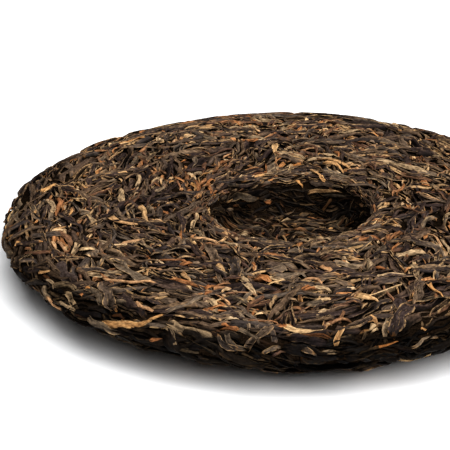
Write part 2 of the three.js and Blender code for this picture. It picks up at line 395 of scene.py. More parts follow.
@dataclass
class Leaf:
    """One leaf: where it lies on a chart, and its own size and form."""

    kind: LeafKind
    face: Face
    start: tuple[float, float]
    end: tuple[float, float]
    turn: float
    sway: float
    width: float
    thickness: float
    roll: float
    twist: float
    tone: float
    lift: float
    seed: int
    step: float = 1.7  # between two rings of corners
    proud: float = 0.0  # how much of the rim's painted shade it is spared
    line: np.ndarray = field(default_factory=lambda: np.zeros((0, 2)))
    heading: np.ndarray = field(default_factory=lambda: np.zeros(0))
    level: np.ndarray = field(default_factory=lambda: np.zeros(0))
    flat_rings: np.ndarray = field(default_factory=lambda: np.zeros((0, CORNERS, 2)))
    rings: np.ndarray = field(default_factory=lambda: np.zeros((0, CORNERS, 2)))
    slant: np.ndarray = field(default_factory=lambda: np.zeros(0))

    def shape(self) -> None:
        """Work out the leaf's line on the chart and its section at each ring of corners."""
        draw = np.random.default_rng(self.seed)
        chord = np.subtract(self.end, self.start)
        half = abs(self.turn) / 2
        length = float(np.hypot(*chord)) * (half / math.sin(half) if half > 0.01 else 1.0)
        count = max(4, int(round(length / self.step)) + 1)
        share = np.linspace(0, 1, count)
        self.line, self.heading = self._bent_line(chord, length, share, draw)
        self.flat_rings = self._flat_rings(share, draw)
        rolled = self.roll + self.twist * (share - 0.5)
        cosine, sine = np.cos(rolled)[:, None], np.sin(rolled)[:, None]
        across, up = self.flat_rings[..., 0], self.flat_rings[..., 1]
        self.rings = np.stack([across * cosine - up * sine, across * sine + up * cosine], -1)
        self.slant = np.zeros(count)
        self.slant[[0, -1]] = draw.uniform(-0.7, 0.7, 2)

    def _bent_line(
        self, chord: np.ndarray, length: float, share: np.ndarray, draw: np.random.Generator
    ) -> tuple[np.ndarray, np.ndarray]:
        """Draw a bent line from the leaf's start to its end.

        Args:
            chord: From the start straight to the end, on the chart.
            length: Length of the line itself.
            share: Places along the leaf, from 0 to 1.
            draw: Source of the random draws.

        Returns:
            The points of the line and its headings at those places.
        """
        towards = math.atan2(chord[1], chord[0])
        fine = np.linspace(0, 1, 4 * len(share) - 3)
        waves = length / draw.uniform(7, 12)
        kinks = draw.uniform(0.06, 0.32) * np.sin(2 * math.pi * (fine * waves + draw.random()))
        heading = towards + self.turn * (0.5 - fine) + self.sway * np.cos(2 * math.pi * fine) + kinks
        steps = np.exp(1j * heading)
        walked = np.concatenate([[0], np.cumsum((steps[1:] + steps[:-1]) / 2)])
        fitted = walked * complex(*chord) / walked[-1]
        turned = np.angle(complex(*chord) / walked[-1])
        points = fitted[::4] + complex(*self.start)
        return np.stack([points.real, points.imag], 1), heading[::4] + turned

    def _flat_rings(self, share: np.ndarray, draw: np.random.Generator) -> np.ndarray:
        """Draw the leaf's sections before it is rolled over.

        Args:
            share: Places along the leaf, from 0 to 1.
            draw: Source of the random draws.

        Returns:
            The corners of each section, in millimetres across and up.
        """
        kind = self.kind
        full = kind.taper.widths(share, draw)[:, None]
        ragged = 1 + draw.normal(0, kind.raggedness, (len(share), CORNERS))
        ragged[1:-1] = (ragged[:-2] + 2 * ragged[1:-1] + ragged[2:]) / 4
        drawn = np.stack([section_corners(kind.section, draw) for _ in range(3)])
        blend = smooth_step(share * 2 % 1)[:, None, None]
        half = np.minimum((share * 2).astype(int), 1)
        blend[-1] = 1
        corners = drawn[half] * (1 - blend) + drawn[half + 1] * blend
        across = corners[..., 0] * full * ragged * self.width / 2
        up = corners[..., 1] * full**0.6 * ragged * self.thickness / 2
        return np.stack([across, up], -1)


def section_corners(section: Section, draw: np.random.Generator) -> np.ndarray:
    """Draw the corners of a section, counter-clockwise, in half widths and half thicknesses.

    Args:
        section: How the leaf is closed up.
        draw: Source of the random draws.

    Returns:
        One corner to a row, across and up.
    """
    if section is Section.ROLLED:
        angle = np.arange(CORNERS) * 2 * math.pi / CORNERS
        lobes = draw.uniform(0.08, 0.24) * np.cos(draw.integers(2, 4) * angle + draw.uniform(0, 6))
        ridged = lobes + draw.uniform(-0.1, 0.1, CORNERS)
        return np.stack([np.cos(angle), np.sin(angle)], 1) * (0.92 + ridged)[:, None]
    if section is Section.CURLED:
        gap = draw.uniform(0.4, 0.9)
        outer = np.linspace(math.pi / 2 + gap, 2.5 * math.pi - gap, 6)
        inner = np.linspace(outer[-1] - 0.15, outer[0] + 0.15, 4)
        angle = np.concatenate([outer, inner])
        wall = draw.uniform(0.35, 0.6)
        radius = np.concatenate([1 + draw.uniform(-0.12, 0.12, 6), np.full(4, wall)])
        return np.stack([np.cos(angle) * radius, np.sin(angle) * radius], 1)
    across = np.array([1, 0.5, 0, -0.5, -1]) + np.array([0, 1, 1, 1, 0]) * draw.uniform(-0.16, 0.16, 5)
    pleats = draw.uniform(-0.45, 0.45, 5)
    fold = draw.uniform(-1.5, 1.5) * (0.5 - np.abs(across - draw.uniform(-0.5, 0.5)))
    deep, thick = (1.0, 0.34) if section is Section.PLEATED else (0.6, 0.5)
    bend = draw.uniform(-1.2, 1.2) * (across**2 - 0.4)
    middle = deep * (pleats + fold) + bend
    upper = np.stack([across, middle + thick], 1)
    lower = np.stack([across * 0.93, middle - thick], 1)[::-1]
    return np.concatenate([upper, lower])


ROLLED_DARK = LeafKind(
    "rolled_dark_leaves", "dark_leaf", Section.ROLLED, WISP,
    (9, 26), (1.1, 2.7), (0.55, 0.8), twist=3.2, tilt=0.8, turn=1.4, raggedness=0.12, pair_share=0.35,
)
CURLED_DARK = LeafKind(
    "curled_dark_leaves", "dark_leaf", Section.CURLED, WISP,
    (9, 25), (1.6, 3.3), (0.5, 0.75), twist=2.4, tilt=0.9, turn=1.3, raggedness=0.12, pair_share=0.2,
)
PLEATED_DARK = LeafKind(
    "pleated_dark_leaves", "dark_leaf", Section.PLEATED, TORN_OFF,
    (8, 22), (1.8, 4.0), (0.28, 0.44), twist=1.6, tilt=0.55, turn=1.1, raggedness=0.12, pair_share=0.15,
)
BROWN = LeafKind(
    "twisted_brown_leaves", "brown_leaf", Section.ROLLED, WISP,
    (5, 18), (0.9, 2.2), (0.55, 0.8), twist=4.0, tilt=0.8, turn=1.7, raggedness=0.12, pair_share=0.35,
)
OLIVE = LeafKind(
    "pleated_olive_leaves", "olive_leaf", Section.PLEATED, TORN_OFF,
    (7, 22), (1.3, 3.1), (0.32, 0.5), twist=1.8, tilt=0.6, turn=1.3, raggedness=0.12, pair_share=0.2,
)
GOLDEN = LeafKind(
    "golden_buds", "golden_bud", Section.PLEATED, BUD_TIP,
    (4, 13), (1.0, 2.4), (0.4, 0.6), twist=1.4, tilt=0.5, turn=1.6, raggedness=0.12, pair_share=0.2,
)
STEM = LeafKind(
    "broken_stems", "stem", Section.ROLLED, SNAPPED,
    (4, 17), (0.6, 1.3), (0.75, 1.0), twist=1.5, tilt=0.5, turn=0.8, raggedness=0.08, pair_share=0.2,
)
SPLINTER = LeafKind(
    "golden_splinters", "golden_bud", Section.PLEATED, TORN_OFF,
    (2.5, 8), (0.6, 1.7), (0.4, 0.6), twist=1.0, tilt=0.5, turn=0.8, raggedness=0.14, pair_share=0.15,
)
BROAD = LeafKind(
    "broad_leaf_pieces", "dark_leaf", Section.FLAT, TORN_OFF,
    (8, 18), (3.6, 5.8), (0.16, 0.24), twist=0.6, tilt=0.25, turn=0.7, raggedness=0.1,
)
CRUMB = LeafKind(
    "leaf_crumbs", "pressed_tea", Section.PLEATED, TORN_OFF,
    (2.2, 5.5), (0.7, 1.8), (0.4, 0.7), twist=1.0, tilt=0.7, turn=0.8, raggedness=0.16,
)
KINDS = (ROLLED_DARK, CURLED_DARK, PLEATED_DARK, BROWN, OLIVE, GOLDEN, STEM, SPLINTER, BROAD, CRUMB)


SHOWN_LIFT = 0.35  # how far a leaf that stands out may lie over the others, in millimetres
SHOWN_PROUD = 0.55  # how much of the rim's painted shade it is spared


@dataclass(frozen=True)
class Shown:
    """A leaf that stands out on the upper face in the photograph: its line on the chart, size and tone."""

    kind: LeafKind
    x: float
    y: float
    to_x: float
    to_y: float
    bow: float
    width: float
    tone: float

    def leaf(self, seed: int) -> Leaf:
        """Make the leaf.

        Args:
            seed: Seed of what the list leaves open.

        Returns:
            The leaf, not yet laid.
        """
        draw = np.random.default_rng(seed)
        chord = math.hypot(self.to_x - self.x, self.to_y - self.y)
        low, high = self.kind.thickness
        return Leaf(
            kind=self.kind,
            face=Face.UPPER,
            start=(self.x, self.y),
            end=(self.to_x, self.to_y),
            turn=4 * math.atan(2 * self.bow / chord),
            sway=draw.uniform(-0.12, 0.12),
            width=self.width,
            thickness=self.width * draw.uniform(low, high),
            roll=draw.uniform(-0.25, 0.25),
            twist=self.kind.twist * draw.uniform(-0.35, 0.35),
            tone=self.tone,
            lift=SHOWN_LIFT,
            seed=seed,
            proud=SHOWN_PROUD,
        )


SHOWN_LEAVES = (
    Shown(OLIVE, -87, 1, -84, -11, 1, 2.3, 0.9),
    Shown(GOLDEN, -54.5, -7.5, -50, -17.5, 0.6, 2.2, 0.6),
    Shown(GOLDEN, -64, -16, -52, -21, -2.4, 2.8, 0.5),
    Shown(OLIVE, -72, -13, -68, -22, 0.5, 2.2, 0.8),
    Shown(STEM, -80, -33, -76, -40, 0.2, 1.2, 0.6),
    Shown(GOLDEN, -72, -39, -65, -42.5, 0.3, 2.0, 0.9),
    Shown(GOLDEN, -84, -50, -78, -52.5, -1.4, 1.8, 0.4),
    Shown(BROAD, -78, -47.5, -69.5, -62, -0.8, 4.0, 0.35),
    Shown(PLEATED_DARK, -71, -53, -54, -60, -0.5, 3.2, 0.8),
    Shown(OLIVE, -58, -51, -45, -66, -1, 4.2, 0.3),
    Shown(STEM, -58, -38.5, -50.5, -35, 0.4, 1.6, 0.8),
    Shown(GOLDEN, -24, -24, -26, -36, 3.2, 1.8, 0.5),
    Shown(BROWN, -37, -55.5, -32, -52, 0.3, 1.8, 0.95),
    Shown(GOLDEN, -36, -58, -32, -66.5, -0.6, 1.7, 0.5),
    Shown(GOLDEN, -24.5, -53, -21, -58.5, -0.5, 2.8, 0.6),
    Shown(OLIVE, -17, -63, -11, -72.5, 0.4, 2.5, 0.95),
    Shown(PLEATED_DARK, -19, -47, -18.5, -63, 0.6, 4.4, 0.7),
    Shown(OLIVE, -40, -83, -26, -72.5, -2.2, 1.7, 0.4),
    Shown(BROWN, -28, -73, -24.5, -71, 0.2, 1.6, 0.95),
    Shown(OLIVE, -26.5, -75, -23, -80.5, 0.3, 2.2, 0.95),
    Shown(STEM, -61, -61, -43.5, -66, -2, 1.3, 0.8),
    Shown(BROAD, -61, -62.5, -54.5, -79.5, -0.8, 4.2, 0.65),
    Shown(OLIVE, -67, -65, -60.5, -76, 1.6, 2.5, 0.1),
    Shown(PLEATED_DARK, -55, -71, -48, -80.5, -0.6, 3.2, 0.2),
    Shown(GOLDEN, -60, -82, -39, -82, -5.2, 2.6, 0.3),
    Shown(STEM, -49, -76.5, -43, -81.5, -0.4, 1.4, 0.8),
    Shown(OLIVE, -16, -80, -10, -92, 1.2, 1.5, 0.5),
    Shown(OLIVE, -18, -81, -13, -93, 1.4, 1.3, 0.6),
    Shown(OLIVE, -38.5, -87, -23.5, -95, -0.6, 4.2, 0.85),
    Shown(OLIVE, -40, -89, -35, -98, 1.4, 1.6, 0.7),
    Shown(ROLLED_DARK, 5, -66, -7, -87, -0.6, 3, 0.7),
    Shown(OLIVE, 6.5, -67.5, 12.5, -70, 1, 2.3, 1.0),
    Shown(GOLDEN, -2.5, -89, 12, -91, -2.6, 2.4, 0.85),
    Shown(OLIVE, 8.5, -86.5, 12.5, -82, 0.4, 3.6, 0.95),
    Shown(GOLDEN, 20, -72, 28, -76, 0.8, 2.9, 0.6),
    Shown(BROAD, 17.5, -60.5, 42, -57, -1.2, 4.0, 0.3),
    Shown(OLIVE, 27, -62, 38, -58.5, 0.3, 1.4, 0.95),
    Shown(OLIVE, 33, -33, 50, -42, 4.2, 3.6, 0.5),
    Shown(OLIVE, 35, -45, 46, -40, 0.6, 2.5, 0.95),
    Shown(GOLDEN, 23, -86, 27, -88.5, 0.2, 3.0, 0.4),
    Shown(GOLDEN, 14, -98.5, 18, -88.5, 1, 1.8, 0.4),
    Shown(OLIVE, 29.5, -95, 31, -84.5, 1.2, 2.1, 0.7),
    Shown(BROAD, 31, -93, 38, -75.5, 0.8, 5, 0.15),
    Shown(OLIVE, 14, -52.5, 25, -54.5, 0.8, 3, 0.6),
    Shown(GOLDEN, 44, -62.5, 48.5, -71.5, -0.4, 1.9, 0.3),
    Shown(BROWN, -12, -62.5, -6.5, -64, 0.6, 3.4, 1.0),
    Shown(BROWN, 27, -54, 32, -57, 0.4, 1.6, 1.0),
    Shown(STEM, 4, -62, 10, -65, 0.3, 1.1, 0.7),
    Shown(GOLDEN, 16.9, -42.6, 20.1, -42.2, 2.6, 0.9, 0.4),
    Shown(GOLDEN, -46.5, -61.5, -43.6, -58.6, 2.6, 1.2, 0.6),
    Shown(GOLDEN, -91, 8, -86, 17, -1, 2.3, 0.3),
    Shown(OLIVE, -57, 11, -57.5, 21, -1.4, 2.1, 0.95),
    Shown(GOLDEN, 9, 41.5, 23.5, 31, 3.4, 2.4, 0.4),
    Shown(GOLDEN, 12, 38.5, 20, 31, 2.4, 2.0, 0.4),
    Shown(OLIVE, 31, 39.5, 50, 27, 2.2, 2.8, 0.95),
    Shown(OLIVE, 0, 38, -1, 30, 0.2, 1.6, 1.0),
    Shown(GOLDEN, 7, 34, 12, 26.5, 0.6, 2, 0.4),
    Shown(PLEATED_DARK, 19, 21.5, 32, 17.5, 0.8, 4.4, 0.85),
    Shown(GOLDEN, -8, 54, -6, 45, 0.4, 2.4, 0.6),
    Shown(OLIVE, -74, -65.5, -68.5, -74.5, 0.6, 2.2, 1.0),
    Shown(OLIVE, -76, -69, -68.5, -76.5, 0.3, 1.2, 0.9),
    Shown(OLIVE, -65, -79, -54, -88.5, -0.5, 2.4, 0.3),
    Shown(STEM, -82, -32.5, -79.5, -37, 0.2, 1.3, 0.9),
    Shown(GOLDEN, -67, -66, -63.5, -66.5, 0.3, 1.3, 0.0),
    Shown(BROWN, -67.5, -69, -66.5, -70.5, 0.1, 1.8, 1.0),
    Shown(OLIVE, -81.5, -56, -77.5, -63, 1.2, 1.2, 0.8),
    Shown(GOLDEN, -93, -28, -95, -33, 0.7, 1.8, 0.3),
    Shown(GOLDEN, -83.5, -15, -85, -19.5, 0.3, 1.9, 0.6),
    Shown(BROWN, -44.5, -93.5, -39, -93.5, -0.3, 1.5, 1.0),
    Shown(OLIVE, -19.5, -91, -13, -100, -2.4, 2.0, 0.4),
    Shown(OLIVE, -17, -92, -9.5, -98, 1.8, 1.8, 0.2),
    Shown(PLEATED_DARK, -22.5, -93.5, -15, -100, -1.6, 2.0, 0.8),
    Shown(BROWN, -23, -90, -18.5, -90, 0.5, 1.8, 1.0),
    Shown(ROLLED_DARK, -29, -88.5, -18, -88, -1.3, 1.8, 0.8),
    Shown(PLEATED_DARK, -5.5, -88, -13.5, -101, 0.4, 3.0, 0.9),
    Shown(PLEATED_DARK, -6.5, -91, -4, -98, 0.4, 1.9, 0.8),
    Shown(OLIVE, -9, -102, -2, -98.5, 0.9, 1.6, 0.4),
    Shown(BROWN, -6, -103, -1, -100.5, 0.6, 1.6, 0.5),
    Shown(PLEATED_DARK, -1, -95.5, 12, -97, -0.6, 3.6, 0.0),
    Shown(OLIVE, 3.5, -100, 8, -101.5, 0.3, 2.0, 0.5),
    Shown(OLIVE, 9, -100.5, 15, -100, -0.4, 1.6, 0.7),
    Shown(GOLDEN, 24.5, -98.5, 34.5, -94, 0.4, 0.9, 0.0),
    Shown(OLIVE, 37, -96, 46, -90, 0.5, 1.2, 0.6),
    Shown(GOLDEN, 39.5, -88.5, 43.5, -89.5, 1.0, 1.3, 0.3),
    Shown(GOLDEN, 5, 23, 17, 20, 1.9, 1.4, 0.5),
    Shown(OLIVE, -20, 14.5, -10, 20.5, 0.8, 3.0, 0.1),
    Shown(BROWN, -8, 20, -5.5, 20.5, 0.1, 1.8, 1.0),
    Shown(OLIVE, 6.5, 3, 9.5, 0.5, 0.3, 2.2, 1.0),
    Shown(OLIVE, 6, -28, 10.5, -30, 1.0, 1.8, 1.0),
    Shown(OLIVE, 10.5, -27.5, 15.5, -29, 0.6, 2.0, 0.9),
    Shown(GOLDEN, -15, 26.5, -9, 28.5, 0.4, 1.6, 0.4),
    Shown(GOLDEN, 1, 27.5, 4, 24, 0.5, 1.4, 0.2),
    Shown(GOLDEN, 11, 30, 13.5, 25, -0.4, 1.7, 0.3),
    Shown(ROLLED_DARK, -100, -19, -90, -15.5, 0.4, 3.0, 0.5),
    Shown(GOLDEN, -99.5, -22, -94.5, -23, -0.3, 2.0, 0.3),
    Shown(ROLLED_DARK, -99, -25.5, -84, -21.5, 0.6, 3.0, 0.6),
    Shown(PLEATED_DARK, -90, -28.5, -77.5, -28, -0.5, 3.2, 0.8),
    Shown(ROLLED_DARK, -95, -31.5, -84, -33, 0.5, 2.4, 0.1),
    Shown(BROWN, -91, -34, -87.5, -36.5, -0.4, 1.8, 0.8),
    Shown(BROWN, -91, -37.5, -80, -41, -0.6, 2.0, 0.2),
    Shown(OLIVE, -92.5, -42.5, -84, -38.5, 0.5, 2.0, 0.3),
    Shown(PLEATED_DARK, -92, -41, -84.5, -45, 0.5, 2.6, 0.7),
    Shown(CURLED_DARK, -88.5, -49, -80, -45.5, -0.8, 2.4, 0.0),
    Shown(CURLED_DARK, -80.5, -45.5, -68, -48, 0.6, 2.4, 0.1),
    Shown(OLIVE, -98, -5, -94, -13.5, -0.5, 2.2, 0.3),
    Shown(OLIVE, -93, -2, -90, -10, 0.4, 2.0, 0.1),
)


@dataclass(frozen=True)
class Spread:
    """Leaves spread over a ring of a chart, and how they lie there.

    Heading 0 points outwards and 90 runs round the disc, in degrees, with the spread either way in straying.
    """

    face: Face
    near: float
    far: float
    count: int
    scale: float
    heading: float
    straying: float
    shares: dict[LeafKind, float]
    step: float = 1.7
    follows: bool = False  # whether its leaves bend with the ring


PLATEAU_SHARES = {
    ROLLED_DARK: 0.17, CURLED_DARK: 0.13, PLEATED_DARK: 0.18, BROWN: 0.19,
    OLIVE: 0.17, GOLDEN: 0.06, STEM: 0.07, BROAD: 0.03,
}
RIM_SHARES = {
    ROLLED_DARK: 0.23, CURLED_DARK: 0.21, PLEATED_DARK: 0.18, BROWN: 0.15,
    OLIVE: 0.14, GOLDEN: 0.05, STEM: 0.04,
}
BED_SHARES = {ROLLED_DARK: 0.25, CURLED_DARK: 0.25, PLEATED_DARK: 0.28, BROWN: 0.22}
CRUMB_SHARES = {CRUMB: 0.6, SPLINTER: 0.4}

BED = (
    Spread(Face.UNDER, 0, 103, 520, 1.15, 90, 75, BED_SHARES, 2.8),
    Spread(Face.UPPER, 82, 104, 260, 1.15, 88, 40, BED_SHARES, 2.8),
    Spread(Face.UPPER, 27, 84, 480, 1.05, 90, 90, BED_SHARES, 2.8),
    Spread(Face.UPPER, 18, 27, 110, 0.6, 90, 25, BED_SHARES, 1.8, True),
    Spread(Face.UPPER, 25.5, 30, 80, 0.6, 90, 15, BED_SHARES, 1.8, True),
    Spread(Face.UPPER, 0, 21, 90, 0.62, 90, 90, BED_SHARES, 2.0),
)
SURFACE = (
    Spread(Face.UNDER, 0, 80, 380, 1.1, 90, 90, RIM_SHARES, 2.0),
    Spread(Face.UNDER, 80, 105, 460, 1.05, 88, 40, RIM_SHARES),
    Spread(Face.UPPER, 87, 104, 320, 1.05, 86, 45, RIM_SHARES),
    Spread(Face.UPPER, 30, 89, 1000, 0.84, 90, 90, PLATEAU_SHARES),
    Spread(Face.UPPER, 28, 34, 110, 0.75, 88, 38, PLATEAU_SHARES, 1.7, True),
    Spread(Face.UPPER, 18.5, 27, 60, 0.6, 88, 32, PLATEAU_SHARES, 1.5, True),
    Spread(Face.UPPER, 18.5, 27, 90, 0.55, 90, 80, PLATEAU_SHARES, 1.5),
    Spread(Face.UPPER, 26, 29.5, 80, 0.58, 90, 22, PLATEAU_SHARES, 1.5, True),
    Spread(Face.UPPER, 0, 18.5, 120, 0.6, 90, 90, PLATEAU_SHARES),
    Spread(Face.UPPER, 22, 96, 880, 1.0, 90, 90, CRUMB_SHARES, 1.5),
    Spread(Face.UPPER, 0, 22, 130, 0.9, 90, 90, CRUMB_SHARES, 1.5),
)


class LeafHeap:
    """The heap of leaves on the disc: it lays each leaf on what already lies there."""

    CHART_REACH = 119.0
    PIXEL = 0.4
    CORE_DEPTH = 1.7
    SOFTNESS = 0.45  # how far a leaf is pressed into what it lies on
    SINK = 0.25  # how far every leaf is pressed in at least
    EASING = (0.1, 0.22, 0.36, 0.22, 0.1)  # how much of its neighbours' level each ring of a leaf takes on
    TUCK_DEPTH = 0.8  # how far the tips of a leaf are tucked in
    TUCK_SHARE = 0.16  # and how much of its length at each tip
    TRIES = 7  # places that are tried for each leaf, of which the lowest is taken
    FLOW_WIDTH = 17.0  # over which the leaves tend to lie alike
    SEED, FLOW_SEED, BUMP_SEED, SWELL_SEED = 21, 61, 5, 15
    CLEAN_KINDS = (OLIVE, GOLDEN, STEM)  # of which some are spared a part of the rim's painted shade
    CLEAN_SHARE, CLEAN = 0.35, 0.5  # how many of them, and how much of it
    LEAST_THICKNESS = 0.45
    LIP_MARGIN = 2.0  # either side of the dimple's lip, which a leaf should not lie across
    TOP_LEVEL = 0.3  # mean level that the press leaves, above the smooth surface
    BUMP_WIDTH, BUMP_HEIGHT = 6.5, 0.42
    SWELL_WIDTH, SWELL_HEIGHT = 24.0, 0.35
    MOUTH_DIP, MOUTH_DIP_WIDTH = 1.2, 6.0  # of the top round the mouth of the dimple
    FRONT = -90.0  # bearing at which the rim is loose and bumpy, in degrees
    LOOSE_RIM = (76.0, 16.0)  # reach at which it starts, and over how much it sets in
    LOOSE_LIFT, LOOSE_BUMPS = 0.1, 0.4
    EVEN_RIM = (84.0, 10.0)  # the same for the rest of the rim, which is even
    EVEN_SHARE = 0.6
    SHARED_REACH = 86.0  # beyond which a leaf also lies on the chart of the other face

    def __init__(self, surface: DiscSurface) -> None:
        """Start with the bare core.

        Args:
            surface: The smooth surface of the disc.
        """
        self.surface = surface
        self.draw = np.random.default_rng(self.SEED)
        self.leaves: list[Leaf] = []
        edge = int(math.ceil(self.CHART_REACH / self.PIXEL))
        axis = np.arange(-edge, edge + 1) * self.PIXEL
        x, y = np.meshgrid(axis, axis, indexing="ij")
        self.edge = edge
        self.flow = SmoothNoise(self.FLOW_SEED)
        self.levels = {face: self._core_level(face, x, y) for face in Face}
        self.tops = {face: self._pressed_top(face, x, y) for face in Face}

    def _core_level(self, face: Face, x: np.ndarray, y: np.ndarray) -> np.ndarray:
        """Return how high the core stands above the smooth surface, which is below zero."""
        return core_relief(face, x, y) - self.CORE_DEPTH

    def _pressed_top(self, face: Face, x: np.ndarray, y: np.ndarray) -> np.ndarray:
        """Work out the level that no leaf stands above, as the press and the ground set it.

        Args:
            face: The chart.
            x: First coordinates on it.
            y: Second coordinates on it.

        Returns:
            The level at each place, from the smooth surface.
        """
        bumps = SmoothNoise(self.BUMP_SEED + face.value).at(x / self.BUMP_WIDTH, y / self.BUMP_WIDTH)
        swells = SmoothNoise(self.SWELL_SEED + face.value).at(x / self.SWELL_WIDTH, y / self.SWELL_WIDTH)
        reach = np.hypot(x, y)
        front = facing(face, x, y, self.FRONT)
        loose = setting_in(reach, *self.LOOSE_RIM) * front
        bumps *= 1 - self.EVEN_SHARE * setting_in(reach, *self.EVEN_RIM) * (1 - front)
        pressed = self.TOP_LEVEL + self.BUMP_HEIGHT * bumps + self.SWELL_HEIGHT * swells
        lifted = loose * (self.LOOSE_LIFT + self.LOOSE_BUMPS * bumps)
        top = pressed + lifted + front_swell(face, x, y)
        if face is Face.UPPER:
            from_mouth = reach - self.surface.form.mouth_radius
            top -= self.MOUTH_DIP * np.exp(-((from_mouth / self.MOUTH_DIP_WIDTH) ** 2))
        else:
            _, height, normal = self.surface.section_at(self.surface.along(face, reach))
            ground = height / np.clip(-normal[..., 1], 0.05, None)
            top = np.minimum(top, ground)
        return top

    def pixels(self, x: np.ndarray, y: np.ndarray) -> tuple[np.ndarray, np.ndarray]:
        """Find the pixels of places on a chart.

        Args:
            x: First coordinates of the places.
            y: Second coordinates of the places.

        Returns:
            The column and the row of each.
        """
        column = np.clip(np.rint(x / self.PIXEL).astype(int) + self.edge, 0, 2 * self.edge)
        row = np.clip(np.rint(y / self.PIXEL).astype(int) + self.edge, 0, 2 * self.edge)
        return column, row

    def lay(self, leaf: Leaf) -> None:
        """Shape a leaf, settle it on the heap and raise the heap by it.

        Args:
            leaf: The leaf, which keeps the levels that it settles at.
        """
        leaf.shape()
        half = np.abs(leaf.rings[..., 0]).max(1)
        right = np.stack([np.sin(leaf.heading), -np.cos(leaf.heading)], 1)
        below = -leaf.rings[..., 1].min(1)
        above = leaf.rings[..., 1].max(1)
        lanes = half[:, None] * np.array([-0.7, 0, 0.7])
        spots = leaf.line[:, None, :] + right[:, None, :] * lanes[..., None]
        pixels = self.pixels(spots[..., 0], spots[..., 1])
        found = self.levels[leaf.face][pixels]
        base = 0.6 * found.max(1) + 0.4 * found.mean(1)
        padded = np.pad(base, 2, mode="edge")
        eased = sum(padded[i : i + len(base)] * weight for i, weight in enumerate(self.EASING))
        rest = np.maximum(eased, base - self.SOFTNESS)
        share = np.linspace(0, 1, len(base))
        from_tip = np.clip(np.minimum(share, 1 - share) / self.TUCK_SHARE, 0, 1)
        tucked = self.TUCK_DEPTH * (1 - from_tip) ** 2
        top = self.tops[leaf.face][pixels].mean(1) + leaf.lift
        waves = 0.15 * np.sin(share * len(share) * leaf.step / 1.4 + leaf.tone * 40)
        leaf.level = np.minimum(rest + below - self.SINK + waves, top - above) - tucked
        self._raise_by(leaf, half, right, above)
        self.leaves.append(leaf)

    def _raise_by(self, leaf: Leaf, half: np.ndarray, right: np.ndarray, above: np.ndarray) -> None:
        """Raise the heap to the top of a leaf that has been laid.

        Args:
            leaf: The leaf.
            half: Half its width at each ring.
            right: The way to its right at each ring, on the chart.
            above: How far it stands above its line at each ring.
        """
        steps = int(math.ceil(leaf.step / self.PIXEL))
        share = np.linspace(0, len(half) - 1, (len(half) - 1) * steps + 1)
        index = np.arange(len(half))

        def between(values: np.ndarray) -> np.ndarray:
            """Return values between the rings."""
            return np.interp(share, index, values)

        wide = between(half)
        lanes = np.linspace(-1, 1, max(3, int(math.ceil(2 * wide.max() / self.PIXEL)) + 1))
        x = between(leaf.line[:, 0])[:, None] + between(right[:, 0])[:, None] * wide[:, None] * lanes
        y = between(leaf.line[:, 1])[:, None] + between(right[:, 1])[:, None] * wide[:, None] * lanes
        dome = np.sqrt(np.clip(1 - 0.9 * lanes**2, 0, None))
        level = between(leaf.level)[:, None] + between(above)[:, None] * dome
        np.maximum.at(self.levels[leaf.face], self.pixels(x, y), level)
        far = np.hypot(x, y) > self.SHARED_REACH
        if far.any():
            there = self.surface.to_other_chart(leaf.face, x[far], y[far])
            np.maximum.at(self.levels[leaf.face.other], self.pixels(*there), level[far])

    def spread(self, spread: Spread, share: float = 1.0) -> None:
        """Lay the leaves of one spread, each at the lowest of a few places.

        Args:
            spread: The ring, the kinds of leaf and how they lie.
            share: The share of its count that is laid now.
        """
        kinds = list(spread.shares)
        weights = np.array([spread.shares[kind] for kind in kinds])
        picked = self.draw.choice(len(kinds), int(spread.count * share), p=weights / weights.sum())
        for index in picked:
            leaf = self._placed(kinds[index], spread)
            self.lay(leaf)
            if self.draw.random() < leaf.kind.pair_share:
                self.lay(self._beside(leaf))

    def _beside(self, leaf: Leaf) -> Leaf:
        """Draw a strand that lies beside a leaf and bends with it.

        Args:
            leaf: The leaf.

        Returns:
            The strand, not yet laid.
        """
        draw = self.draw
        chord = np.subtract(leaf.end, leaf.start)
        length = float(np.hypot(*chord))
        side = float(draw.choice([-1, 1])) * leaf.width * draw.uniform(0.45, 0.75)
        across = np.array([chord[1], -chord[0]]) / length * side
        first, last = draw.uniform(-0.12, 0.3), draw.uniform(-0.12, 0.3)
        turned = draw.uniform(-0.08, 0.08) * length
        lean = np.array([chord[1], -chord[0]]) / length * turned
        return replace(
            leaf,
            start=tuple(np.array(leaf.start) + chord * first + across - lean),
            end=tuple(np.array(leaf.end) - chord * last + across + lean),
            turn=leaf.turn * draw.uniform(0.7, 1.1),
            width=leaf.width * draw.uniform(0.5, 0.85),
            thickness=leaf.thickness * draw.uniform(0.6, 0.9),
            roll=leaf.roll + draw.uniform(-0.5, 0.5),
            tone=float(np.clip(leaf.tone + draw.uniform(-0.25, 0.25), 0, 1)),
            seed=int(draw.integers(1 << 31)),
        )

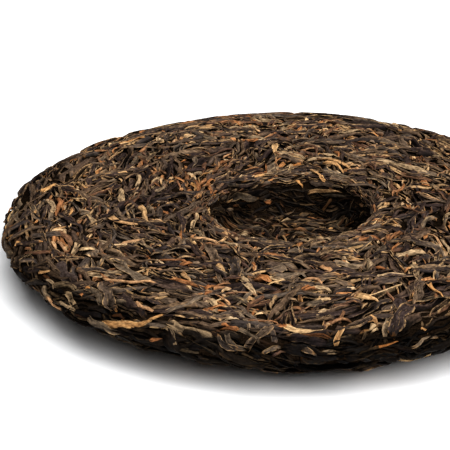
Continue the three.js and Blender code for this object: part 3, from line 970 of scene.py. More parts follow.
    def _placed(self, kind: LeafKind, spread: Spread) -> Leaf:
        """Draw a leaf of a kind, and the lowest of a few places for it.

        Args:
            kind: The kind of leaf.
            spread: The ring and how the leaves lie there.

        Returns:
            The leaf, not yet laid.
        """
        draw = self.draw
        low, high = kind.lengths
        length = (low + (high - low) * draw.random() ** 1.6) * spread.scale
        low, high = kind.widths
        width = (low + (high - low) * draw.random() ** 1.2) * spread.scale
        side = float(draw.choice([-1, 1]))
        ring = 0.5 * (spread.near + spread.far)
        turn = kind.turn * draw.normal(0, 0.5) - (side * length / ring if spread.follows else 0.0)
        chord = length * (math.sin(abs(turn) / 2) / (abs(turn) / 2) if abs(turn) > 0.02 else 1.0)
        reach = np.sqrt(draw.uniform(spread.near**2, spread.far**2, self.TRIES))
        bearing = draw.uniform(0, 2 * math.pi, self.TRIES)
        middle = np.stack([reach * np.cos(bearing), reach * np.sin(bearing)], 1)
        flow = self.flow.at(*(middle.T / self.FLOW_WIDTH + 40))
        straying = (0.8 * flow + draw.uniform(-0.55, 0.55, self.TRIES)) * spread.straying
        heading = bearing + np.radians(spread.heading + straying) + (math.pi if side < 0 else 0.0)
        half = np.stack([np.cos(heading), np.sin(heading)], 1) * chord / 2
        spots = middle[:, None, :] + half[:, None, :] * np.linspace(-0.9, 0.9, 5)[None, :, None]
        levels = self.levels[spread.face][self.pixels(spots[..., 0], spots[..., 1])].mean(1)
        lip = self.surface.form.mouth_radius + 0.5
        margin = self.LIP_MARGIN
        inside = np.clip(lip - np.hypot(spots[..., 0], spots[..., 1]), -margin, margin)
        over_lip = 2.0 * np.ptp(inside, axis=1) * (np.abs(inside).min(1) < margin)
        swollen = front_swell(spread.face, middle[:, 0], middle[:, 1])
        best = int(np.argmin(levels - swollen + over_lip + draw.uniform(0, 0.25, self.TRIES)))
        return Leaf(
            kind=kind,
            face=spread.face,
            start=tuple(middle[best] - half[best]),
            end=tuple(middle[best] + half[best]),
            turn=turn,
            sway=draw.uniform(-0.4, 0.4),
            width=width,
            thickness=max(width * draw.uniform(*kind.thickness), self.LEAST_THICKNESS),
            roll=kind.tilt * draw.normal(0, 0.7),
            twist=kind.twist * draw.uniform(-1, 1),
            tone=draw.random(),
            lift=0.0,
            seed=int(draw.integers(1 << 31)),
            step=spread.step,
            proud=self.CLEAN if kind in self.CLEAN_KINDS and draw.random() < self.CLEAN_SHARE else 0.0,
        )

    def evened_level(self, face: Face, width: float) -> np.ndarray:
        """Return the level of the heap on a chart, evened out over a width.

        Args:
            face: The chart.
            width: How far the evening reaches, in millimetres.

        Returns:
            The evened level at each pixel.
        """
        pixels = int(math.ceil(2 * width / self.PIXEL))
        weights = np.exp(-((np.arange(-pixels, pixels + 1) * self.PIXEL / width) ** 2))
        weights /= weights.sum()
        level = self.levels[face]
        for axis in (0, 1):
            level = np.apply_along_axis(np.convolve, axis, level, weights, "same")
        return level

    def shown_share(self, leaf: Leaf) -> float:
        """Work out how much of a leaf shows at the top of the finished heap.

        Args:
            leaf: The leaf.

        Returns:
            The share of its rings that show.
        """
        top = leaf.level + leaf.rings[..., 1].max(1)
        found = self.levels[leaf.face][self.pixels(leaf.line[:, 0], leaf.line[:, 1])]
        return float((top > found - 0.3).mean())


class HeapShade:
    """The painted shade of each part of a leaf in the heap: in its gaps and pits, on the rim and in the
    dimple.
    """

    # Painted shade, darker where light falls less: in gaps and pits among the leaves, on the rim and in the
    # dimple.
    GAP_WIDTH = 1.1  # over which the heap is evened to find the gaps between leaves, in millimetres
    PIT_WIDTH = 3.2  # and to find the pits among them
    GAP_DEPTH = 1.15
    PIT_DEPTH = 2.8
    GAP_SHADE = 0.8  # at the bottom of a gap
    PIT_SHADE = 0.65  # at the bottom of a pit
    RIM_BEARING = -80.0  # at which the rim is darkest, in degrees
    RIM_SHADE = 0.3  # of the rim all round
    FRONT_SHADE = 0.59  # that its darkest side has on top of that
    WALL_SHADE = 0.46  # of the dimple
    CORNER_SHADE = 0.3  # that the foot of its wall has on top of that
    RIM = (88.0, 11.0)  # reach at which the shade of the rim starts, and over how much it sets in
    CORNER = (15.0, 6.0)  # the same for the foot of the wall
    LIP = (1.0, 3.0)  # and for the dimple, counted inwards from beyond its mouth

    def __init__(self, heap: LeafHeap) -> None:
        """Even out the level of the finished heap.

        Args:
            heap: The finished heap.
        """
        self.heap = heap
        self.gaps = {face: heap.evened_level(face, self.GAP_WIDTH) for face in Face}
        self.pits = {face: heap.evened_level(face, self.PIT_WIDTH) for face in Face}

    def of(self, leaf: Leaf) -> np.ndarray:
        """Work out the painted shade of a leaf.

        Args:
            leaf: The leaf.

        Returns:
            The shade at each of its corners, ring by ring, from 0 to 1.
        """
        right = np.stack([np.sin(leaf.heading), -np.cos(leaf.heading)], 1)
        spots = leaf.line[:, None, :] + right[:, None, :] * leaf.rings[..., :1]
        x, y = spots[..., 0], spots[..., 1]
        level = leaf.level[:, None] + leaf.rings[..., 1]
        pixels = self.heap.pixels(x, y)
        gap = np.clip((self.gaps[leaf.face][pixels] + 0.15 - level) / self.GAP_DEPTH, 0, 1)
        pit = np.clip((self.pits[leaf.face][pixels] - 0.1 - level) / self.PIT_DEPTH, 0, 1)
        aside = self._rim_and_dimple_shade(leaf.face, x, y) * (1 - leaf.proud)
        return 1 - (1 - self.GAP_SHADE * gap) * (1 - self.PIT_SHADE * pit) * (1 - aside)

    def _rim_and_dimple_shade(self, face: Face, x: np.ndarray, y: np.ndarray) -> np.ndarray:
        """Work out the painted shade of the rim, darkest towards its front, and of the dimple.

        Args:
            face: The chart.
            x: First coordinates on it.
            y: Second coordinates on it.

        Returns:
            The shade at each place, from 0 to 1.
        """
        reach = np.hypot(x, y)
        front = self.FRONT_SHADE * facing(face, x, y, self.RIM_BEARING) ** 0.6
        rim = (self.RIM_SHADE + front) * setting_in(reach, *self.RIM)
        if face is Face.UNDER:
            return rim
        beyond, span = self.LIP
        wall = smooth_step((self.heap.surface.form.mouth_radius + beyond - reach) / span)
        corner = self.CORNER_SHADE * setting_in(reach, *self.CORNER)
        return np.maximum(rim, wall * (self.WALL_SHADE + corner))


def facing(face: Face, x: np.ndarray, y: np.ndarray, bearing: float) -> np.ndarray:
    """Return how much places on a chart face a bearing in degrees, from 0 to 1."""
    return np.clip(np.cos(np.arctan2(y, x) * face.value - math.radians(bearing)), 0, 1)


LUMP_SEED, SCRAP_SEED = 31, 41
LUMP_WIDTH, LUMP_HEIGHT = 5.0, 0.5  # of the pressed core, in millimetres
SCRAP_WIDTH, SCRAP_HEIGHT = 1.9, 0.35
RIM_FILLING = 0.4
FILLED_RIM = (82.0, 12.0)  # reach at which the filling starts, and over how much it sets in
SWELL_BEARING = -72.0  # in degrees
SWELL_RISE = 2.2  # from the back of the rim to where it swells out most
SWELL_DRAWN_IN = 1.2  # at the back
SWELL_REACH, SWELL_WIDTH = 92.0, 8.0


def core_relief(face: Face, x: np.ndarray, y: np.ndarray) -> np.ndarray:
    """Work out the lumps of the pressed core, its fuller rim and the swell of its lower side.

    Args:
        face: The chart.
        x: First coordinates on it.
        y: Second coordinates on it.

    Returns:
        The height at each place, in millimetres from the core's mean level.
    """
    coarse = SmoothNoise(LUMP_SEED + face.value).at(x / LUMP_WIDTH, y / LUMP_WIDTH)
    fine = SmoothNoise(SCRAP_SEED + face.value).at(x / SCRAP_WIDTH, y / SCRAP_WIDTH)
    rim = RIM_FILLING * setting_in(np.hypot(x, y), *FILLED_RIM)
    return LUMP_HEIGHT * coarse + SCRAP_HEIGHT * fine + rim + front_swell(face, x, y)


def front_swell(face: Face, x: np.ndarray, y: np.ndarray) -> np.ndarray:
    """Work out how far the lower side of the rim swells out at the front, and draws in elsewhere.

    Args:
        face: The chart.
        x: First coordinates on it.
        y: Second coordinates on it.

    Returns:
        The swell at each place, in millimetres, which is zero on the upper face.
    """
    if face is Face.UPPER:
        return np.zeros_like(x)
    front = facing(face, x, y, SWELL_BEARING)
    band = np.exp(-(((np.hypot(x, y) - SWELL_REACH) / SWELL_WIDTH) ** 2))
    return (SWELL_RISE * front - SWELL_DRAWN_IN) * band


class IslandSheet:
    """Lays the flattened skins of many leaves side by side on one square sheet."""

    GAP = 0.45  # between two skins, in millimetres

    def __init__(self, lengths: np.ndarray, girths: np.ndarray) -> None:
        """Place the skins in rows, the widest first.

        Args:
            lengths: Length of each skin, with its two ends, in millimetres.
            girths: Girth of each skin.
        """
        self.corners = np.zeros((len(lengths), 2))
        area = float(((lengths + self.GAP) * (girths + self.GAP)).sum())
        row_length = max(math.sqrt(area) * 1.02, float(lengths.max()) + 2 * self.GAP)
        x = y = self.GAP
        row_height = 0.0
        for i in np.argsort(-girths, kind="stable"):
            if x + lengths[i] + self.GAP > row_length:
                x = self.GAP
                y += row_height + self.GAP
                row_height = 0.0
            self.corners[i] = x, y
            row_height = max(row_height, float(girths[i]))
            x += lengths[i] + self.GAP
        self.side = max(row_length, y + row_height + self.GAP)


class LeafPiece:
    """One object that holds every leaf of a kind."""

    CLEARANCE = 0.02  # over the floor, in millimetres
    END_SCALE = 0.96  # of the closed ends on the sheet of skins
    CREASE_ANGLE = 1.05  # beyond which an edge along the leaf is sharp, in radians
    FLAT_BEND = 0.63  # at which the skin counts as neither ridge nor groove, in radians
    FULL_BEND = 1.1  # more than that at which it counts fully
    TIP_LENGTH = 2.2  # over which a broken end is pale, in millimetres
    GRAIN_STEP = 41.0  # between the grain of one leaf and the next
    RUB = (0.15, 1.5)  # the least that a leaf is rubbed pale, and what the most rubbed one has on top

    def __init__(self, surface: DiscSurface, kind: LeafKind, leaves: Sequence[Leaf]) -> None:
        """Gather the leaves.

        Args:
            surface: The smooth surface of the disc.
            kind: The kind of leaf.
            leaves: The leaves of that kind, laid on the heap.
        """
        self.surface = surface
        self.kind = kind
        self.leaves = leaves
        self.counts = np.array([len(leaf.level) for leaf in leaves])
        self.starts = np.concatenate([[0], np.cumsum(self.counts)[:-1]])
        self.flat_rings = np.concatenate([leaf.flat_rings for leaf in leaves])

    def _points(self) -> np.ndarray:
        """Work out the corners of every leaf.

        Returns:
            The corners, ring by ring, in millimetres.
        """
        line = np.concatenate([leaf.line for leaf in self.leaves])
        level = np.concatenate([leaf.level for leaf in self.leaves])
        rings = np.concatenate([leaf.rings for leaf in self.leaves])
        slant = np.concatenate([leaf.slant for leaf in self.leaves])
        faces = np.repeat([leaf.face.value for leaf in self.leaves], self.counts)
        middle = np.zeros((len(level), 3))
        raised = np.zeros((len(level), 3))
        for face in Face:
            own = faces == face.value
            x, y = line[own].T
            middle[own] = self.surface.place(face, x, y, level[own])
            raised[own] = self.surface.place(face, x, y, level[own] + 0.5)
        up = raised - middle
        up /= np.linalg.norm(up, axis=1)[:, None]
        index = np.arange(len(level))
        first = np.repeat(self.starts, self.counts)
        last = first + np.repeat(self.counts, self.counts) - 1
        ahead = middle[np.minimum(index + 1, last)] - middle[np.maximum(index - 1, first)]
        ahead /= np.linalg.norm(ahead, axis=1)[:, None]
        right = np.cross(ahead, up)
        right /= np.linalg.norm(right, axis=1)[:, None]
        up = np.cross(right, ahead)
        points = middle[:, None] + right[:, None] * rings[..., :1] + up[:, None] * rings[..., 1:]
        points += ahead[:, None] * rings[..., :1] * slant[:, None, None]
        points[..., 2] = np.maximum(points[..., 2], self.CLEARANCE)
        return points.reshape(-1, 3)

    def _skins(self) -> np.ndarray:
        """List the quads along the leaves.

        Returns:
            The four corners of each quad, by number.
        """
        last = self.starts + self.counts - 1
        rings = np.setdiff1d(np.arange(self.counts.sum()), last)[:, None]
        corner = np.arange(CORNERS)[None, :]
        after = (corner + 1) % CORNERS
        here, ahead = rings * CORNERS, (rings + 1) * CORNERS
        return np.stack([here + corner, ahead + corner, ahead + after, here + after], -1).reshape(-1, 4)

    def _ends(self) -> np.ndarray:
        """List the faces that close the ends of the leaves.

        Returns:
            The corners of each face by number, first at the start of each leaf and then at its end.
        """
        corner = np.arange(CORNERS)[None, :]
        last = (self.starts + self.counts - 1)[:, None] * CORNERS
        tails = self.starts[:, None] * CORNERS + corner
        heads = last + corner[:, ::-1]
        return np.concatenate([tails, heads])

    def _places_on_sheet(self) -> np.ndarray:
        """Work out where each face lies on the sheet of skins.

        Returns:
            The place of each corner of each face, from 0 to 1 across the sheet.
        """
        leaf_of_ring = np.repeat(np.arange(len(self.leaves)), self.counts)
        ring_in_leaf = np.arange(self.counts.sum()) - self.starts[leaf_of_ring]
        step = np.array([np.hypot(*np.diff(leaf.line, axis=0).T).mean() for leaf in self.leaves])
        sides = np.linalg.norm(np.roll(self.flat_rings, -1, 1) - self.flat_rings, axis=2)
        girth = np.maximum.reduceat(sides.sum(1), self.starts)
        spans = np.abs(self.flat_rings).max((1, 2)) * 2
        span = np.maximum.reduceat(spans, self.starts)
        lengths = step * (self.counts - 1) + 2 * (span + IslandSheet.GAP)
        sheet = IslandSheet(lengths, girth)
        corner_x = sheet.corners[:, 0] + span + IslandSheet.GAP
        x = corner_x[leaf_of_ring] + ring_in_leaf * step[leaf_of_ring]
        lane = np.arange(CORNERS + 1) / CORNERS
        y = sheet.corners[leaf_of_ring, 1][:, None] + girth[leaf_of_ring][:, None] * lane
        last = self.starts + self.counts - 1
        rings = np.setdiff1d(np.arange(self.counts.sum()), last)
        k = np.arange(CORNERS)
        here, ahead = x[rings][:, None] + 0 * k, x[rings + 1][:, None] + 0 * k
        low, high = y[rings][:, :-1], y[rings][:, 1:]
        skins = np.stack([here, low, ahead, low, ahead, high, here, high], -1).reshape(-1, 2)
        tail_spots = sheet.corners + span[:, None] / 2
        head_x = x[last] + IslandSheet.GAP + span / 2
        head_spots = np.stack([head_x, tail_spots[:, 1]], 1)
        tails = self.flat_rings[self.starts] * self.END_SCALE + tail_spots[:, None]
        heads = self.flat_rings[last][:, ::-1] * self.END_SCALE + head_spots[:, None]
        return np.concatenate([skins, tails.reshape(-1, 2), heads.reshape(-1, 2)]) / sheet.side

    def _bends(self) -> np.ndarray:
        """Work out how sharply the skin bends across the leaves.

        Returns:
            The bend at each corner of each ring, in radians, above zero where it bends outwards.
        """
        after = np.roll(self.flat_rings, -1, 1) - self.flat_rings
        before = self.flat_rings - np.roll(self.flat_rings, 1, 1)
        turned = before[..., 0] * after[..., 1] - before[..., 1] * after[..., 0]
        return np.arctan2(turned, (before * after).sum(-1))

    def _crease(self, mesh: bpy.types.Mesh) -> None:
        """Mark the lengthwise edges where the skin bends sharply.

        Args:
            mesh: The mesh of the leaves.
        """
        ends = np.zeros(len(mesh.edges) * 2, int)
        mesh.edges.foreach_get("vertices", ends)
        ends = ends.reshape(-1, 2)
        lengthwise = np.abs(ends[:, 0] - ends[:, 1]) == CORNERS
        sharp = np.abs(self._bends().reshape(-1)) > self.CREASE_ANGLE
        creased = lengthwise & sharp[ends[:, 0]] & sharp[ends[:, 1]]
        mark = mesh.attributes.new("sharp_edge", "BOOLEAN", "EDGE")
        mark.data.foreach_set("value", creased)

    def _attributes(self, shade: HeapShade) -> dict[str, np.ndarray]:
        """Work out what the finish reads.

        Args:
            shade: The shade in the finished heap.

        Returns:
            The values at each corner, by name.
        """
        ring_leaf = np.repeat(np.arange(len(self.leaves)), self.counts)
        tone = np.array([leaf.tone for leaf in self.leaves])[ring_leaf]
        step = np.array([leaf.step for leaf in self.leaves])[ring_leaf]
        along = (np.arange(len(ring_leaf)) - self.starts[ring_leaf]) * step
        share = (np.arange(len(ring_leaf)) - self.starts[ring_leaf]) / (self.counts[ring_leaf] - 1)
        from_end = np.minimum(share, 1 - share) * (self.counts[ring_leaf] - 1) * step
        tip = 1 - np.clip(from_end / self.TIP_LENGTH, 0, 1)
        grain = np.concatenate([np.repeat(along[:, None, None], CORNERS, 1), self.flat_rings], 2)
        grain[..., 0] += ring_leaf[:, None] * self.GRAIN_STEP
        ridge = np.clip((self._bends() - self.FLAT_BEND) / self.FULL_BEND, -1, 1)
        # Painted shade of the heap, kept at each corner for the finish to darken the colour by.
        below = np.concatenate([shade.of(leaf) for leaf in self.leaves])
        rubbed = np.array([leaf.seed * 0.618 % 1 for leaf in self.leaves])[ring_leaf]
        least, extra = self.RUB
        return {
            "rub": np.repeat(least + extra * rubbed**2, CORNERS),
            "grain": grain.reshape(-1, 3),
            "tone": np.repeat(tone, CORNERS),
            "tip": np.repeat(tip, CORNERS),
            "ridge": ridge.reshape(-1),
            "painted_shade": below.reshape(-1),
        }

    def build(self, shade: HeapShade, material: bpy.types.Material) -> bpy.types.Object:
        """Make the object.

        Args:
            shade: The shade in the finished heap.
            material: The finish of the leaves.

        Returns:
            The object, which rides on the disc.
        """
        points = self._points()
        quads, ends = self._skins(), self._ends()
        mesh = bpy.data.meshes.new(self.kind.name)
        mesh.vertices.add(len(points))
        mesh.vertices.foreach_set("co", (points * METRES).ravel())
        corners = np.concatenate([quads.ravel(), ends.ravel()])
        sizes = np.concatenate([np.full(len(quads), 4), np.full(len(ends), CORNERS)])
        mesh.loops.add(len(corners))
        mesh.loops.foreach_set("vertex_index", corners)
        mesh.polygons.add(len(sizes))
        mesh.polygons.foreach_set("loop_start", np.concatenate([[0], np.cumsum(sizes)[:-1]]))
        mesh.polygons.foreach_set("use_smooth", np.ones(len(sizes), bool))
        mesh.update(calc_edges=True)
        sheet = mesh.uv_layers.new(name="OFBake")
        sheet.uv.foreach_set("vector", self._places_on_sheet().ravel())
        for name, values in self._attributes(shade).items():
            store(mesh, name, values)
        self._crease(mesh)
        mesh.validate()
        piece = bpy.data.objects.new(self.kind.name, mesh)
        bpy.context.scene.collection.objects.link(piece)
        piece.data.materials.append(material)
        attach(piece, "root")
        return piece


def store(mesh: bpy.types.Mesh, name: str, values: np.ndarray) -> None:
    """Keep one value or vector for each corner of a mesh under a name.

    Args:
        mesh: The mesh.
        name: The name that a finish reads them by.
        values: The values, or one vector to a row.
    """
    kind, key = ("FLOAT_VECTOR", "vector") if values.ndim == 2 else ("FLOAT", "value")
    attribute = mesh.attributes.new(name, kind, "POINT")
    attribute.data.foreach_set(key, values.astype(np.float32).ravel())


class NodeBoard:
    """Places and links the nodes of one tree."""

    def __init__(self, tree: bpy.types.NodeTree) -> None:
        """Start on a tree.

        Args:
            tree: The node tree of a material or a group.
        """
        self.tree = tree
        self.count = 0

    def add(
        self, kind: str, inputs: dict[str | int, object] | None = None, **settings: object
    ) -> bpy.types.Node:
        """Add a node.

        Args:
            kind: Blender's name of the node's type.
            inputs: Values or sockets for its inputs, by name or number.
            settings: Its other settings.

        Returns:
            The node.
        """
        node = self.tree.nodes.new(kind)
        node.location = (self.count % 8 * 190, -(self.count // 8) * 260)
        self.count += 1
        for name, value in settings.items():
            setattr(node, name, value)
        self.feed(node, inputs or {})
        return node

    def feed(self, node: bpy.types.Node, inputs: dict[str | int, object]) -> None:
        """Set or link the inputs of a node.

        Args:
            node: The node.
            inputs: Values or sockets for its inputs, by name or number.
        """
        for name, value in inputs.items():
            if isinstance(value, bpy.types.NodeSocket):
                self.tree.links.new(value, node.inputs[name])
            else:
                node.inputs[name].default_value = value

    def attribute(self, name: str) -> bpy.types.Node:
        """Add a node that reads a named value of the mesh."""
        return self.add("ShaderNodeAttribute", attribute_name=name)

    def maths(
        self, operation: str, first: object, second: object, held: bool = True
    ) -> bpy.types.NodeSocket:
        """Add a sum of two values and return its result, held from 0 to 1 unless it is said not to be."""
        node = self.add("ShaderNodeMath", {0: first, 1: second}, operation=operation, use_clamp=held)
        return node.outputs[0]

    def mixed(self, share: object, first: object, second: object, way: str = "MIX") -> bpy.types.NodeSocket:
        """Mix two colours.

        Args:
            share: Share of the second colour.
            first: The first colour.
            second: The second colour.
            way: Blender's name of the way they are mixed.

        Returns:
            The mixed colour.
        """
        node = self.add("ShaderNodeMix", data_type="RGBA", blend_type=way)
        self.feed(node, {0: share, 6: first, 7: second})
        return node.outputs[2]

    def range(
        self, value: object, low: float, high: float, to_low: float = 0.0, to_high: float = 1.0
    ) -> bpy.types.NodeSocket:
        """Map a range of a value smoothly to another range and return the result."""
        inputs = {0: value, 1: low, 2: high, 3: to_low, 4: to_high}
        return self.add("ShaderNodeMapRange", inputs, interpolation_type="SMOOTHSTEP").outputs[0]


class LeafGrainAndShade:
    """Shader group of all dry leaves: fibres, worn ridges, painted shade in creases, pale ends, painted heap
    shade.
    """

    NAME = "leaf_grain_and_shade"
    DEEPEST = 0.95  # shade of a leaf at which it is darkest
    LIT = (0.72, 0.045)  # how much of its colour a leaf keeps on top of the heap, and where it is darkest
    MOTTLING = (0.8, 1.18)  # how dark and how light the blotches on a leaf are
    SPECKLING = (0.62, 1.32)  # and the specks
    ROUGHNESS = (0.5, 0.75)

    def build(self) -> bpy.types.NodeTree:
        """Build the group once.

        Returns:
            The group, with its named inputs and outputs.
        """
        if self.NAME in bpy.data.node_groups:
            return bpy.data.node_groups[self.NAME]
        tree = bpy.data.node_groups.new(self.NAME, "ShaderNodeTree")
        self._sockets(tree)
        board = NodeBoard(tree)
        given = board.add("NodeGroupInput").outputs
        wide = self._noise(board, given["Grain"], (0.22, 1.05, 1.05), 3.0)
        fine = self._noise(board, given["Grain"], (0.3, 3.2, 3.2), 2.0)
        blotches = self._noise(board, given["Grain"], (0.5, 0.8, 0.8), 3.0)
        # Painted shade in the creases: where the section bends inwards the body is mixed towards the groove
        # colour, as it is along the dark fibre streaks.
        furrows = board.range(given["Ridge"], -0.15, -0.8)
        sunken = board.maths("MULTIPLY", furrows, board.range(blotches, 0.62, 0.38))
        hollow = board.maths("MAXIMUM", sunken, board.range(wide, 0.46, 0.34))
        streaks = board.maths("MULTIPLY", board.range(fine, 0.52, 0.33), 0.5)
        grooved = board.maths("MULTIPLY", board.maths("MAXIMUM", hollow, streaks), given["Fibres"])
        shaded = board.mixed(grooved, given["Body"], given["Groove"])
        ridges = board.range(given["Ridge"], 0.1, 0.8)
        raised = board.maths("MULTIPLY", ridges, board.range(blotches, 0.42, 0.55))
        crests = board.maths("MULTIPLY", board.range(wide, 0.54, 0.66), board.range(fine, 0.45, 0.6))
        rubbing = board.maths("MAXIMUM", raised, board.maths("MULTIPLY", crests, 0.6))
        worn = board.maths("MULTIPLY", rubbing, given["Wear"])
        rubbed = board.mixed(worn, shaded, given["Worn"])
        broken = board.maths("MULTIPLY", given["Tip"], board.range(blotches, 0.46, 0.6))
        ended = board.mixed(board.maths("MULTIPLY", broken, given["Wear"]), rubbed, given["End"])
        # Painted shade of the heap: the colour is darkened in gaps, pits, on the rim and in the dimple.
        dimmed = board.range(given["Depth"], 0.0, self.DEEPEST, *self.LIT)
        specks = self._noise(board, given["Grain"], (0.9, 1.5, 1.5), 3.0)
        mottled = board.range(blotches, 0.25, 0.75, *self.MOTTLING)
        speckled = board.range(specks, 0.3, 0.7, *self.SPECKLING)
        light = board.maths("MULTIPLY", board.maths("MULTIPLY", dimmed, mottled, False), speckled, False)
        tinted = board.add("ShaderNodeVectorMath", {0: ended, "Scale": light}, operation="SCALE").outputs[0]
        roughness = board.range(blotches, 0.3, 0.7, *self.ROUGHNESS)
        ribs = board.maths("ADD", board.maths("MULTIPLY", wide, 0.5), board.maths("MULTIPLY", fine, 0.2))
        height = board.maths("ADD", ribs, board.maths("MULTIPLY", specks, 0.3))
        board.add("NodeGroupOutput", {"Color": tinted, "Roughness": roughness, "Height": height})
        return tree

    def _sockets(self, tree: bpy.types.NodeTree) -> None:
        """Make the group's inputs and outputs.

        Args:
            tree: The node tree of the group.
        """
        for name, kind, value in (
            ("Grain", "NodeSocketVector", None),
            ("Body", "NodeSocketColor", (0.05, 0.04, 0.03, 1)),
            ("Groove", "NodeSocketColor", (0.01, 0.008, 0.006, 1)),
            ("Worn", "NodeSocketColor", (0.3, 0.22, 0.14, 1)),
            ("End", "NodeSocketColor", (0.4, 0.28, 0.15, 1)),
            ("Ridge", "NodeSocketFloat", 0.0),
            ("Tip", "NodeSocketFloat", 0.0),
            ("Depth", "NodeSocketFloat", 0.0),
            ("Wear", "NodeSocketFloat", 0.5),
            ("Fibres", "NodeSocketFloat", 0.6),
        ):
            socket = tree.interface.new_socket(name, in_out="INPUT", socket_type=kind)
            if value is not None:
                socket.default_value = value
        for name, kind in (
            ("Color", "NodeSocketColor"),
            ("Roughness", "NodeSocketFloat"),
            ("Height", "NodeSocketFloat"),
        ):
            tree.interface.new_socket(name, in_out="OUTPUT", socket_type=kind)

    def _noise(
        self, board: NodeBoard, grain: bpy.types.NodeSocket, scale: tuple[float, float, float], detail: float
    ) -> bpy.types.NodeSocket:
        """Add noise that is drawn out along the grain.

        Args:
            board: The board of the group's tree.
            grain: Place on the leaf in millimetres: along it, across it and through it.
            scale: Steps of the noise to a millimetre each way.
            detail: How many finer layers the noise has.

        Returns:
            The noise.
        """
        drawn = board.add("ShaderNodeVectorMath", {0: grain, 1: scale}, operation="MULTIPLY")
        inputs = {"Vector": drawn.outputs[0], "Scale": 1.0, "Detail": detail, "Roughness": 0.55}
        return board.add("ShaderNodeTexNoise", inputs).outputs["Fac"]


@dataclass(frozen=True)
class LeafFinish:
    """The finish of one kind of leaf, with painted shade. Colours are as seen on a screen, from 0 to 255."""

    name: str
    tones: tuple[tuple[int, int, int], ...]
    # of the dark fibre streaks, and the painted shade in the creases
    groove: tuple[int, int, int]
    worn: tuple[int, int, int]
    end: tuple[int, int, int]
    wear: float
    fibres: float
    gloss: float = 0.04
    relief: float = 0.6

    def material(self) -> bpy.types.Material:
        """Build the material.

        Returns:
            The material, which reads the named values of a piece of leaves.
        """
        if self.name in bpy.data.materials:
            return bpy.data.materials[self.name]
        material = bpy.data.materials.new(self.name)
        material.use_nodes = True
        tree = material.node_tree
        tree.nodes.clear()
        board = NodeBoard(tree)
        tone = board.attribute("tone").outputs["Fac"]
        ramp = board.add("ShaderNodeValToRGB", {"Fac": tone})
        stops = ramp.color_ramp
        stops.interpolation = "LINEAR"
        while len(stops.elements) < len(self.tones):
            stops.elements.new(0.5)
        for index, tint in enumerate(self.tones):
            stops.elements[index].position = index / (len(self.tones) - 1)
            stops.elements[index].color = linear_colour(*tint)
        grain = board.add("ShaderNodeGroup", node_tree=LeafGrainAndShade().build())
        board.feed(
            grain,
            {
                "Grain": board.attribute("grain").outputs["Vector"],
                "Body": ramp.outputs["Color"],
                "Groove": linear_colour(*self.groove),
                "Worn": linear_colour(*self.worn),
                "End": linear_colour(*self.end),
                "Ridge": board.attribute("ridge").outputs["Fac"],
                "Tip": board.attribute("tip").outputs["Fac"],
                "Depth": board.attribute("painted_shade").outputs["Fac"],
                "Fibres": self.fibres,
            },
        )
        rubbed = board.attribute("rub").outputs["Fac"]
        board.feed(grain, {"Wear": board.maths("MULTIPLY", rubbed, self.wear, False)})
        ribs = {"Strength": self.relief, "Distance": RIB_HEIGHT, "Height": grain.outputs["Height"]}
        bump = board.add("ShaderNodeBump", ribs)
        surface = board.add(
            "ShaderNodeBsdfPrincipled",
            {
                "Base Color": grain.outputs["Color"],
                "Roughness": grain.outputs["Roughness"],
                "Specular IOR Level": self.gloss,
                "Normal": bump.outputs["Normal"],
            },
        )
        board.add("ShaderNodeOutputMaterial", {"Surface": surface.outputs[0]})
        return material


DARK_FINISH = LeafFinish(
    "dark_leaf",
    tones=((42, 34, 31), (72, 58, 53), (58, 51, 49), (109, 88, 69), (88, 79, 72)),
    groove=(22, 16, 13), worn=(177, 144, 104), end=(184, 132, 80), wear=0.75, fibres=0.65,
)
PLEATED_FINISH = LeafFinish(
    "pleated_dark_leaf",
    tones=((48, 39, 38), (76, 62, 57), (105, 85, 69), (72, 65, 62), (129, 107, 86)),
    groove=(24, 18, 14), worn=(183, 150, 110), end=(190, 138, 84), wear=0.75, fibres=0.65,
)
BROWN_FINISH = LeafFinish(
    "twisted_brown_leaf",
    tones=((74, 53, 43), (111, 81, 62), (88, 69, 61), (143, 105, 76), (163, 109, 69)),
    groove=(36, 22, 13), worn=(203, 158, 110), end=(208, 146, 86), wear=0.65, fibres=0.65,
)
OLIVE_FINISH = LeafFinish(
    "folded_olive_leaf",
    tones=((88, 76, 64), (121, 105, 87), (112, 97, 84), (157, 134, 106), (189, 160, 124)),
    groove=(44, 32, 21), worn=(205, 170, 123), end=(208, 156, 96), wear=0.65, fibres=0.6,
)
GOLDEN_FINISH = LeafFinish(
    "golden_bud",
    tones=((179, 120, 68), (199, 150, 97), (184, 146, 105), (211, 174, 126), (221, 189, 147)),
    groove=(106, 66, 33), worn=(231, 195, 142), end=(226, 162, 88), wear=0.5, fibres=0.5,
)
STEM_FINISH = LeafFinish(
    "broken_stem",
    tones=((112, 78, 59), (143, 102, 77), (149, 116, 90), (185, 142, 104), (207, 168, 126)),
    groove=(58, 36, 21), worn=(217, 178, 129), end=(222, 168, 104), wear=0.45, fibres=0.65,
)
BROAD_FINISH = LeafFinish(
    "broad_leaf",
    tones=((58, 48, 44), (76, 63, 60), (96, 83, 74), (111, 93, 77), (129, 111, 93)),
    groove=(30, 22, 16), worn=(183, 150, 108), end=(194, 134, 70), wear=0.5, fibres=0.6,
)
SPLINTER_FINISH = LeafFinish(
    "golden_splinter",
    tones=((157, 101, 62), (189, 133, 87), (165, 136, 106), (207, 172, 129), (227, 199, 161)),
    groove=(98, 60, 32), worn=(235, 199, 148), end=(224, 162, 92), wear=0.5, fibres=0.55,
)
CRUMB_FINISH = LeafFinish(
    "leaf_crumb",
    tones=((66, 53, 48), (107, 84, 69), (161, 111, 71), (129, 109, 92), (197, 164, 126)),
    groove=(36, 25, 16), worn=(203, 164, 116), end=(212, 156, 88), wear=0.5, fibres=0.55,
)
